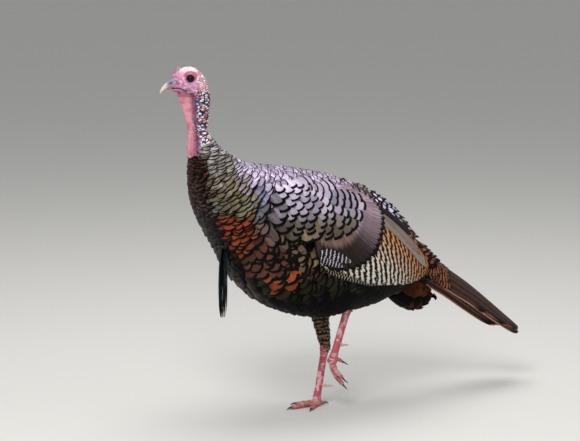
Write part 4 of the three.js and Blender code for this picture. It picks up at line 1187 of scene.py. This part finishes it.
brow = np.exp(-((eye_away - 15.5) / 2.6) ** 2) * smooth_step(z, -2, 8) * (side_out > 8)
cheek = np.exp(-(((f + 6) / 12) ** 2 + ((z + 18) / 9) ** 2)) * (side_out > 8)
ear = np.exp(-(((f + 21) / 4.0) ** 2 + ((z + 6) / 4.5) ** 2)) * (side_out > 8)
orbit = smooth_step(eye_away, 13.0, 8.5) * (side_out > 6) * is_head
height = (nape * (1.8 * wart - 0.9) + 0.35 * fine * (1 - nape) + 0.9 * brow + 0.7 * cheek - 1.6 * ear
          + (fold - 0.5) * 1.0 + (wrinkle - 0.5) * 0.9 * is_head * (1 - nape))
mouth_line = -24.2 - 0.013 * np.maximum(33 - f, 0) ** 2
mouth = np.exp(-((z - mouth_line) / 1.5) ** 2) * window(f, 10, 46, 2)
height = height * (1 - orbit) - 0.9 * mouth
head_points = head_points + face * height[:, None]
lid_plane = np.sign(s) * (EYE_DEPTH + EYE_RADIUS * 0.55)
head_points = head_points + SIDEWAYS * ((lid_plane - s) * orbit)[:, None]

# %% [markdown]
# ## Colours of the bare skin
# Blood and thin skin over pale tissue make the head's colours: white crown, rose face, blue-grey
# round the nostrils, and on the nape white and red warts with slate-blue furrows between them.
# Light and shade are painted in as well: dark in the wrinkles' hollows and pale on their ridges, a
# pale ring round the eye, and dark in the nostrils, along the gape, in the groove behind the dewlap
# and round the snood's root.

# %% Paint the head skin
def mix(under, over, share):
    """Blend of two linear colours or colour arrays by a share per point."""
    return under * (1 - share[:, None]) + over * share[:, None]


def nostril_share(forward, rise):
    """A slanting oval round the nostril, 1 in its middle."""
    return np.exp(-(((forward - 47) / 5.4) ** 2 + ((rise + 12 + 0.55 * (forward - 47)) / 2.1) ** 2))


blotch = cloud(head_points, 9, 11)
speck = cloud(head_points, 1.8, 12)
x_at, z_at = head_points[:, 0], head_points[:, 2]
tint = np.tile(linear("#C884A6"), (len(head_points), 1))
tint = mix(tint, linear("#E2AFCB"), smooth_step(blotch, 0.35, 0.75))
tint = mix(tint, linear("#9C5A72"), (1 - fine) * 0.5)
# Painted shade and highlight: the skin is darkened in the hollows of the fine wrinkles and lightened on their
# ridges.
tint = tint * (0.25 + 1.50 * wrinkle)[:, None]
beside_eye = (side_out > 6) * is_head
tint = mix(tint, linear("#B04468"), np.exp(-((eye_away - 11.8) / 1.6) ** 2) * beside_eye * 0.7)
# Painted highlight: a pale pink ring round the eye, patchy with the blotches.
tint = mix(tint, linear("#F3D3E6"), np.exp(-((eye_away - 16.8) / 1.6) ** 2) * beside_eye * (0.1 + 0.6 * blotch))
crown = smooth_step(z, 9, 18) * is_head
tint = mix(tint, linear("#F0D9E2"), crown * smooth_step(f, 40, 26) * 0.85)
tint = mix(tint, linear("#6E3540"), crown * smooth_step(speck, 0.68, 0.80) * 0.8)
tint = mix(tint, linear("#C9A6CC"), cheek * 0.4)
tint = mix(tint, linear("#3E2434"), ear * 0.85)
tint = mix(tint, linear("#9C2240"), brow * 0.9 * smooth_step(z, 2, 9))
tint = mix(tint, linear("#8A7F9C"), window(f, 36, 60, 5) * window(z, -22, 4, 5) * 0.65)
# Painted shade: darker violet on the forehead round the root of the snood.
tint = mix(tint, linear("#82586F"), smooth_step(z + 0.4 * f, 22, 32) * smooth_step(f, 20, 28) * 0.75)
# Painted shade: the gape is painted near black along the mouth's crease.
tint = mix(tint, linear("#12060C"), np.minimum(mouth * 1.3, 1))
warts = mix(np.tile(linear("#F7F0F4"), (len(f), 1)), linear("#D9A2AE"), smooth_step(wart_number, 0.50, 0.58))
warts = mix(warts, linear("#C2382C"), smooth_step(wart_number, 0.86, 0.89) * ridged)
warts = mix(warts, linear("#D24A3C"), smooth_step(cloud(head_points, 4.5, 17), 0.70, 0.78) * 0.8)
furrow = mix(np.tile(linear("#101C33"), (len(f), 1)), linear("#2C4A78"), smooth_step(blotch, 0.55, 0.75))
furrow = mix(furrow, linear("#B5808C"), 1 - ridged)
tint = mix(tint, mix(warts, furrow, smooth_step(wart, 0.86, 0.60)), smooth_step(nape, 0.15, 0.6))
throat = (1 - is_head) * smooth_step(x_at, -338, -346)
rose = mix(np.tile(linear("#CE8594"), (len(f), 1)), linear("#B4667C"), smooth_step(blotch, 0.45, 0.8))
rose = mix(rose, linear("#E0A6AE"), fine * 0.5)
tint = mix(tint, rose, throat)
# Painted shade: a dark mauve band in the groove behind the dewlap.
groove = (1 - is_head) * np.exp(-((x_at + 340) / 4.5) ** 2)
tint = mix(tint, linear("#5E3350"), groove * 0.8)
# Painted shade: the nostril slit is painted dark, for the shade inside the opening.
slit = nostril_share(f, z) * (side_out > 2)
tint = mix(tint, linear("#2A2032"), smooth_step(slit, 0.25, 0.6))
chin = window(z, -46, -35, 2) * window(f, -10, 34, 4)
tint = mix(tint, linear("#6A3040"), chin * 0.6)
tint = mix(tint, linear("#0A0608"), smooth_step(eye_away, 11.0, 9.0) * orbit)
print("head skin", len(head_points), "points")

# %% [markdown]
# ## Eyelids
# The lids are thick dark rims that hug the eyeball. Each is a ring whose middle line is an ellipse
# round the eye's axis, resting on the ball, with a rounded section.

# %% Lids
def lid_form(side, across_radius, rise_radius, thick, deep, sink):
    """A ring: along goes round the eye, angle round the lid's own section."""
    def ring(along, angle):
        turn = 2 * math.pi * along
        outward = thick * np.cos(angle)
        f_at = (across_radius + outward) * np.cos(turn)
        z_at = (rise_radius + outward) * np.sin(turn)
        middle = across_radius ** 2 * np.cos(turn) ** 2 + rise_radius ** 2 * np.sin(turn) ** 2
        level = EYE_DEPTH + np.sqrt(np.maximum(EYE_RADIUS ** 2 - middle, 1)) - sink + deep * np.sin(angle)
        return in_head(f_at / HEAD_SCALE, z_at / HEAD_SCALE, side * level)
    return ring


def closed_ring(ring, steps, sides):
    """Vertices and quads of a ring that closes on itself both ways."""
    along = np.arange(steps)[:, None] / steps
    angle = np.arange(sides)[None, :] * 2 * math.pi / sides
    points = ring(along + 0 * angle, angle + 0 * along).reshape(-1, 3)
    i, j = np.meshgrid(np.arange(steps), np.arange(sides), indexing="ij")
    a, b = i * sides + j, i * sides + (j + 1) % sides
    c, d = ((i + 1) % steps) * sides + (j + 1) % sides, ((i + 1) % steps) * sides + j
    quads = np.stack([a.ravel(), b.ravel(), c.ravel(), d.ravel()], -1)
    middle = points.reshape(steps, sides, 3).mean(1).repeat(sides, 0)
    facing = np.cross(points[quads[:, 1]] - points[quads[:, 0]], points[quads[:, 3]] - points[quads[:, 0]])
    if np.sum(facing * (points - middle)[quads[:, 0]]) < 0:
        quads = quads[:, ::-1]
    return points, quads


skin_points, skin_quads, skin_tint = [head_points], [head_quads], [tint]


def add_to_skin(points, quads, colour):
    """Appends a part to the one skin mesh."""
    start = sum(len(part) for part in skin_points)
    skin_points.append(points)
    skin_quads.append(quads + start)
    skin_tint.append(np.broadcast_to(colour, (len(points), 3)))


for side in (-1, 1):
    for across_radius, rise_radius, thick, deep, sink, hex_colour in (
            (7.1, 6.4, 1.0, 0.9, 0.3, "#070405"), (9.2, 8.5, 1.4, 1.0, 0.4, "#7A3048")):
        points, quads = closed_ring(lid_form(side, across_radius, rise_radius, thick, deep, sink), 48, 10)
        add_to_skin(points, quads, linear(hex_colour))

# %% [markdown]
# ## The body's skin and the legs
# Under the coat the trunk's skin lies about a feather's depth in. The legs are melted from thigh,
# shank, ball and toes; the shanks carry large scutes, the toes narrow ones across their tops.

# %% Leg measurements
LEGS = {
    "right": dict(side=1, lifted=False, top=[2, 22, 330], hock=[27, 4, 148], joint=[0, 0, 13], radius=36),
    "left": dict(side=-1, lifted=True, top=[18, -72, 345], hock=[53, -62, 257], joint=[10, -58, 124], radius=46)}
TOES = {"inner": (46, 6.6, -44), "middle": (69, 7.2, 0), "outer": (49, 6.4, 38), "hallux": (23, 5.4, 172)}
CLAW_LENGTH, SPUR_REACH = 17, 36
Y_AXIS = np.array([0, 1.0, 0])


def limb(path, radius_at, across=Y_AXIS, depth=1.0, grow=0.0):
    """A tube along a path: its section is an ellipse square to the path's direction."""
    def ring(along, angle):
        centre = through(path, along)
        travel = unit(through(path, along + 1e-3) - through(path, along - 1e-3))
        side = unit(across - travel * (travel @ across)[..., None])
        front = np.cross(travel, side)
        radius = (radius_at(along) + grow)[..., None]
        return (centre + front * np.cos(angle)[..., None] * radius * depth
                + side * np.sin(angle)[..., None] * radius)
    return ring


def toe_path(leg, name):
    """Root, middle and tip of a toe: along the ground, or drooping from the lifted foot."""
    length, _, turn = TOES[name]
    turn = math.radians(turn)
    joint, side, hallux = np.array(leg["joint"], float), leg["side"], name == "hallux"
    if not leg["lifted"]:
        heading = np.array([-math.cos(turn), side * math.sin(turn), 0])
        heights = (14, 8.5, 4) if hallux else (10, 7.6, 4)
        return np.array([joint * [1, 1, 0] + [0, 0, h] + heading * far
                         for h, far in zip(heights, (4, length / 2, length))])
    spread = side * math.sin(turn) * 0.55
    first = unit(np.array([0.9, spread, -0.15]) if hallux else np.array([0.22, spread, -1]))
    last = unit(np.array([0.86, spread * 0.8, -0.5]) if hallux else np.array([0.62, spread * 0.8, -0.8]))
    start = joint + (np.array([4, 0, 4.0]) if hallux else 0)
    middle = start + first * length / 2
    return np.array([start, middle, middle + last * length / 2])


def sole_direction(leg):
    """Where the underside of the toes faces."""
    return unit(np.array([0.75, 0, -0.5])) if leg["lifted"] else np.array([0, 0, -1.0])


def toe_across(leg, path):
    """A toe's sideways direction."""
    return unit(np.cross(unit(path[2] - path[1]), sole_direction(leg)))


def shank_radius(along):
    """Thick at the hock, slim in the middle, thick again at the ankle."""
    return 7.2 * (1 + 0.5 * np.exp(-(along / 0.13) ** 2) + 0.28 * np.exp(-((along - 1) / 0.12) ** 2))


def toe_radius(name):
    """A taper with three soft pads."""
    return lambda along: TOES[name][1] * (1 - 0.3 * along) * (1 + 0.07 * np.cos(along * 6 * math.pi))


def ball_form(leg):
    """The ball of the foot under the shank's end."""
    centre = np.array(leg["joint"], float) - [0, 0, 0 if leg["lifted"] else 5]

    def ring(along, angle):
        lean = math.pi * along
        return centre + np.stack([12.5 * 1.05 * np.sin(lean) * np.cos(angle),
                                  12.5 * 0.92 * np.sin(lean) * np.sin(angle), 12.5 * 0.8 * np.cos(lean)], -1)
    return ring


# %% Melt and scale the legs
def leg_skin(word):
    """One leg's skin with its scutes raised, and its colours."""
    leg = LEGS[word]
    hock, joint, top = (np.array(leg[k], float) for k in ("hock", "joint", "top"))
    forms = [closed_tube(limb(np.array([top, hock]), lambda t: leg["radius"] + (13 - leg["radius"]) * t ** 0.8,
                              depth=1.15, grow=-7.5), 20, 24),
             closed_tube(limb(np.array([hock, joint]), shank_radius, depth=1.28), 40, 24),
             closed_tube(ball_form(leg), 14, 24)]
    axes = [("shank", np.array([hock, (hock + joint) / 2, joint]), Y_AXIS)]
    for name in TOES:
        path = toe_path(leg, name)
        forms.append(closed_tube(limb(path, toe_radius(name), toe_across(leg, path)), 24, 16))
        axes.append((name, path, toe_across(leg, path)))
    points, quads = melted(f"{word} leg skin", forms, LEG_VOXEL, 1)
    best = np.full(len(points), 1e9)
    far, front = np.zeros(len(points)), np.zeros(len(points))
    on_toe = np.zeros(len(points))
    for name, path, across in axes:
        share = np.linspace(0, 1, 40)
        line = through(path, share)
        distance = np.linalg.norm(points[:, None] - line[None], axis=-1)
        nearest = distance.argmin(1)
        gap = distance.min(1)
        travel = unit(path[-1] - path[0])
        up = np.cross(across, travel) * (-1 if name == "shank" else 1)
        if name != "shank" and up @ sole_direction(leg) > 0:
            up = -up
        if name == "shank" and up[0] > 0:
            up = -up
        closer = gap < best
        best = np.where(closer, gap, best)
        far = np.where(closer, share[nearest] * np.linalg.norm(path[-1] - path[0]), far)
        front = np.where(closer, (points - line[nearest]) @ up / np.maximum(gap, 1), front)
        on_toe = np.where(closer, float(name != "shank"), on_toe)
    pitch = np.where(on_toe > 0.5, 4.4, 7.0)
    lateral = np.where(on_toe > 0.5, 0.0, (points[:, 1] > hock[1] + (joint - hock)[1] * far / 170) * 0.5)
    phase = np.abs(np.mod(far / pitch + lateral, 1) - 0.5) * 2
    seam = smooth_step(phase, 0.72, 0.98) * smooth_step(front, -0.1, 0.35)
    near, following, _ = pebbles(points, 3.2, 21)
    grain = smooth_step(following - near, 0.0, 0.4)
    back = 1 - smooth_step(front, -0.1, 0.35)
    bare = smooth_step(best, 20, 14)
    facing = vertex_normals(points, quads)
    points = points + facing * ((0.30 * (1 - seam) + back * 0.35 * (grain - 0.5)) * bare)[:, None]
    if not leg["lifted"]:
        points[:, 2] = np.maximum(points[:, 2], 0.0)
    patchy = cloud(points, 7, 22)
    colour = np.tile(linear("#B4565C"), (len(points), 1))
    colour = mix(colour, linear("#E0B0B6"), smooth_step(patchy, 0.42, 0.62) * 0.8)
    colour = mix(colour, linear("#8A343C"), seam * 0.85)
    colour = mix(colour, linear("#7C363C"), back * (1 - grain) * 0.85)
    colour = mix(colour, linear("#8A3B3A"), smooth_step(front, 0.5, 0.9) * (on_toe < 0.5) * (far < 60) * 0.5)
    colour = mix(colour, linear("#A77A72"), on_toe * 0.35)
    add_to_skin(points, quads, colour)


for word in LEGS:
    leg_skin(word)

points, faces = closed_tube(lambda along, angle: trunk(0.16 + 0.84 * along, angle, -11.0), 60, 40)
trunk_quads = np.array([face if len(face) == 4 else face + face[-1:] for face in faces])
skin_caps = trunk_quads[trunk_quads[:, 2] == trunk_quads[:, 3]][:, :3]
add_to_skin(points, trunk_quads[trunk_quads[:, 2] != trunk_quads[:, 3]], linear("#4A3A38"))

# %% [markdown]
# ## The skin's material
# Living skin lets a little light in and is dull with a faint oily shine. Its colours are in the mesh,
# so the shader only adds the finest grain, a third of a millimetre in life and drawn at one.

# %% Skin shader and piece
def painted(name, grain_size, bump, **principled):
    """A finish whose colour is the mesh's own Tint, broken a little by grain of a size in mm."""
    material, tree, shader = new_material(name, **principled)
    colour = add_node(tree, "Attribute", attribute_name="Tint")
    place = add_node(tree, "TexCoord")
    grain = add_node(tree, "TexNoise", {"Vector": place.outputs["Object"]}, in_Scale=1 / (grain_size * MM),
                     in_Detail=3.0)
    shade = add_node(tree, "MapRange", {"Value": grain.outputs[0]}, in_1=0.3, in_2=0.7, in_3=0.88, in_4=1.12)
    mixed = add_node(tree, "Mix", {6: colour.outputs["Color"], 7: shade.outputs[0]}, data_type="RGBA",
                     blend_type="MULTIPLY", in_0=1.0)
    relief = add_node(tree, "Bump", {"Height": grain.outputs[0]}, in_Strength=bump, in_Distance=0.0005)
    tree.links.new(mixed.outputs[2], shader.inputs["Base Color"])
    tree.links.new(relief.outputs[0], shader.inputs["Normal"])
    return material


def tinted_piece(name, points, faces, tints, material, replaces=()):
    """A mesh piece with a Tint attribute."""
    mesh = mesh_from(name, points, faces)
    give(mesh, "Tint", np.concatenate([tints, np.ones((len(tints), 1))], 1), "FLOAT_COLOR")
    print(name, len(points), "points")
    return show(name, mesh, material, replaces)


SKIN = painted("bare living skin", 1.0, 0.35, Roughness=0.50, Specular_IOR_Level=0.3,
               Subsurface_Weight=0.12, Subsurface_Scale=0.002)
all_quads = np.concatenate(skin_quads).tolist()
start = sum(len(part) for part in skin_points[:-1])
all_faces = all_quads + (skin_caps + start).tolist()
tinted_piece("skin", np.concatenate(skin_points), all_faces, np.concatenate(skin_tint), SKIN,
             ["neck", "neck_base", "breast", "back", "belly", "rump", "tail_coverts_upper", "head", "snood",
              "dewlap"] + [f"{part}_{word}" for word in LEGS
                           for part in ("thigh", "tarsus", "toe_inner", "toe_middle", "toe_outer", "toe_hallux")])

# %% [markdown]
# ## Thigh feathers
# The thighs wear short, soft, mottled feathers down to the hock, laid in rows like the body's.

# %% Lay the thigh feathers
for word, leg in LEGS.items():
    line = np.array([leg["top"], leg["hock"]], float)
    thigh = limb(line, lambda t, r=leg["radius"]: r + (13 - r) * np.clip(t, 0, 1.1) ** 0.8, depth=1.15)
    roots = rows_on(thigh, even(9), even(11), (0.05, 0.97))
    count = len(roots)
    tract = Tract(steps=5, ribs=4, blunt=2.4)
    shape = shingles(tract, thigh, roots, 20 + 8 * chance.random(count), np.full(count, 15.0),
                     np.full(count, 5.0), rough=1.6)
    gain = np.exp((chance.random((count, 1)) - 0.5) * 0.5)
    tract.add(shape, linear("#1E160E") * gain, linear("#75604C") * gain, linear("#1C130D"),
              np.array([0.10, 0.35, 2.6]), home_on_body(roots))
    tract.piece(f"thigh_{word}_feathers", MATT, "thigh")

# %% [markdown]
# ## Bill, eyes, claws and spurs
# The bill is horn over bone: pale and worn at the tip, rosy at the root and blue-grey where the soft
# cere carries the nostrils. Eyes are dark wet balls. Claws are dark horn, the spurs paler.

# %% Bill
def shaped(ring, rings, sides):
    """A closed tube and its head-frame coordinates."""
    points, faces = closed_tube(ring, rings, sides)
    return points, faces, *to_head(points)


HORN_BILL = painted("bill horn, worn smooth", 2.5, 0.15, Roughness=0.34)
points, faces, f, z, s = shaped(head_form(UPPER_BILL), 60, 48)
nostril = nostril_share(f, z) * (np.abs(s) > 2)
points = points - SIDEWAYS * (np.sign(s) * 1.6 * nostril)[:, None]
tint = np.tile(linear("#D9C9BE"), (len(points), 1))
tint = mix(tint, linear("#B98A9A"), smooth_step(f, 62, 50))
tint = mix(tint, linear("#8A7F9C"), smooth_step(f, 60, 50) * smooth_step(z, -25, -16))
# Painted shade: the nostril slit is painted dark, for the shade inside the opening.
tint = mix(tint, linear("#2A2032"), smooth_step(nostril, 0.25, 0.6))
# Painted shade: a dark line along the upper bill's lower edge, in the gap between the two halves of the bill.
tint = mix(tint, linear("#4A2634"), smooth_step(z - (-24.6 - 0.02 * np.maximum(f - 50, 0) ** 2), 1.0, -0.3)
           * smooth_step(f, 66, 56) * 0.8)
tinted_piece("upper_bill", points, faces, tint, HORN_BILL, ["bill_upper"])
points, faces, f, z, s = shaped(head_form(LOWER_BILL), 40, 40)
tint = mix(np.tile(linear("#A88E86"), (len(points), 1)), linear("#84505E"), smooth_step(f, 52, 34))
# Painted shade: the lower bill's top edge is darkened where it meets the upper bill.
tint = mix(tint, linear("#5A3440"), smooth_step(z, -27.0, -25.8) * 0.7)
tinted_piece("lower_bill", points, faces, tint, HORN_BILL, ["bill_lower"])


# %% Eyes
def ball(side):
    """The eyeball, with its poles on the eye's axis and a slight bulge of the cornea."""
    def ring(along, angle):
        lean = math.pi * along
        bulge = 1 + 0.05 * np.exp(-(lean / 0.55) ** 2)
        radius = EYE_RADIUS * bulge
        return in_head(radius * np.sin(lean) * np.cos(angle) / HEAD_SCALE,
                       radius * np.sin(lean) * np.sin(angle) / HEAD_SCALE,
                       side * (EYE_DEPTH + radius * np.cos(lean)))
    return ring


WET_EYE = painted("wet eye", 0.8, 0.0, Roughness=0.05, Specular_IOR_Level=0.22)
for side, word in ((-1, "left"), (1, "right")):
    points, faces, f, z, s = shaped(ball(side), 40, 40)
    out = np.hypot(f, z) * HEAD_SCALE
    tint = mix(np.tile(linear("#040406"), (len(points), 1)), linear("#1E110A"), window(out, 4.4, 5.8, 0.3))
    tinted_piece(f"eye_{word}_ball", points, faces, tint, WET_EYE, [f"eye_{word}"])


# %% Claws and spurs
def claw_path(leg, path):
    """Root, bend and tip of a claw, carrying on from the toe and hooking to the sole."""
    travel = unit(path[2] - path[1])
    root = path[2] - travel * 2
    if not leg["lifted"]:
        travel = unit(travel * [1, 1, 0])
    down = sole_direction(leg)
    arch, hook = (-1, 6) if leg["lifted"] else (0.5, 3.7)
    bend = root + travel * CLAW_LENGTH * 0.55 - down * arch
    return np.array([root, bend, root + travel * CLAW_LENGTH + down * hook])


HORN = painted("claw horn", 1.2, 0.2, Roughness=0.32)
for word, leg in LEGS.items():
    for name in TOES:
        path = toe_path(leg, name)
        points, faces = closed_tube(limb(claw_path(leg, path), lambda t: 3.1 - 2.5 * t, toe_across(leg, path),
                                         depth=1.1), 20, 16)
        if not leg["lifted"]:
            points[:, 2] = np.maximum(points[:, 2], 0.0)
        along = np.linalg.norm(points - path[2], axis=1) / CLAW_LENGTH
        tint = mix(np.tile(linear("#4A3A34"), (len(points), 1)), linear("#191210"), smooth_step(along, 0.2, 0.9))
        tinted_piece(f"{name}_claw_{word}", points, faces, tint, HORN, [f"claw_{name}_{word}"])
    hock, joint = np.array(leg["hock"], float), np.array(leg["joint"], float)
    base = hock + (joint - hock) * 0.7
    end = base + np.array([SPUR_REACH, -leg["side"] * 6, -7])
    path = np.array([base, (base + end) / 2 - [0, 0, 1.5], end])
    points, faces = closed_tube(limb(path, lambda t: 5 - 4.1 * np.clip(t, 0, 1) ** 1.2), 24, 18)
    along = np.linalg.norm(points - base, axis=1) / SPUR_REACH
    tint = mix(np.tile(linear("#D9A79C"), (len(points), 1)), linear("#B9A08E"), smooth_step(along, 0.4, 1.0))
    tinted_piece(f"{word}_spur", points, faces, tint, HORN, [f"spur_{word}"])

# %% [markdown]
# ## Studio
# A pale floor, a big soft lamp above and in front and weaker ones at the sides show the form without
# hard shadows. The camera stands at the bird's front left, a little above its back.

# %% Floor, lights and camera
bpy.ops.mesh.primitive_plane_add(size=60, location=(0, 0, 0))
floor = bpy.context.object
floor.name = "floor"
floor_paint, _, _ = new_material("pale studio floor", Base_Color=(*linear("#D9D7D2"), 1), Roughness=0.8)
floor.data.materials.append(floor_paint)

world = bpy.data.worlds.new("studio air")
bpy.context.scene.world = world
world.use_nodes = True
air = world.node_tree.nodes["Background"]
air.inputs[0].default_value = (*linear("#E4E6E8"), 1)
air.inputs[1].default_value = 0.50


def soft_lamp(name, place, aim, size, watts):
    """A square lamp at a place, turned to its aim."""
    lamp = bpy.data.lights.new(name, "AREA")
    lamp.size = size
    lamp.energy = watts
    holder = bpy.data.objects.new(name, lamp)
    bpy.context.scene.collection.objects.link(holder)
    holder.location = place
    holder.rotation_euler = (Vector(aim) - Vector(place)).to_track_quat("-Z", "Y").to_euler()


soft_lamp("key", (-2.2, -2.4, 3.2), (0, 0, 0.4), 1.6, 118)
soft_lamp("top", (0.3, 0.4, 3.4), (0, 0, 0.4), 2.2, 52)
soft_lamp("fill", (2.6, -1.8, 1.4), (0, 0, 0.4), 2.0, 12)

CAMERA_TURN, CAMERA_RISE, CAMERA_DISTANCE = math.radians(-30), math.radians(9), 5.0
CAMERA_AIM = np.array([-0.0748, 0.0, 0.4664])
camera = bpy.data.cameras.new("camera")
camera.sensor_width = 36
camera.lens = 129.31
holder = bpy.data.objects.new("camera", camera)
bpy.context.scene.collection.objects.link(holder)
back = np.array([math.sin(CAMERA_TURN) * math.cos(CAMERA_RISE), -math.cos(CAMERA_TURN) * math.cos(CAMERA_RISE),
                 math.sin(CAMERA_RISE)])
holder.location = CAMERA_AIM + back * CAMERA_DISTANCE
holder.rotation_euler = (math.pi / 2 - CAMERA_RISE, 0, CAMERA_TURN)
bpy.context.scene.camera = holder
bpy.context.scene.view_settings.view_transform = "Standard"
print("camera at", holder.location)
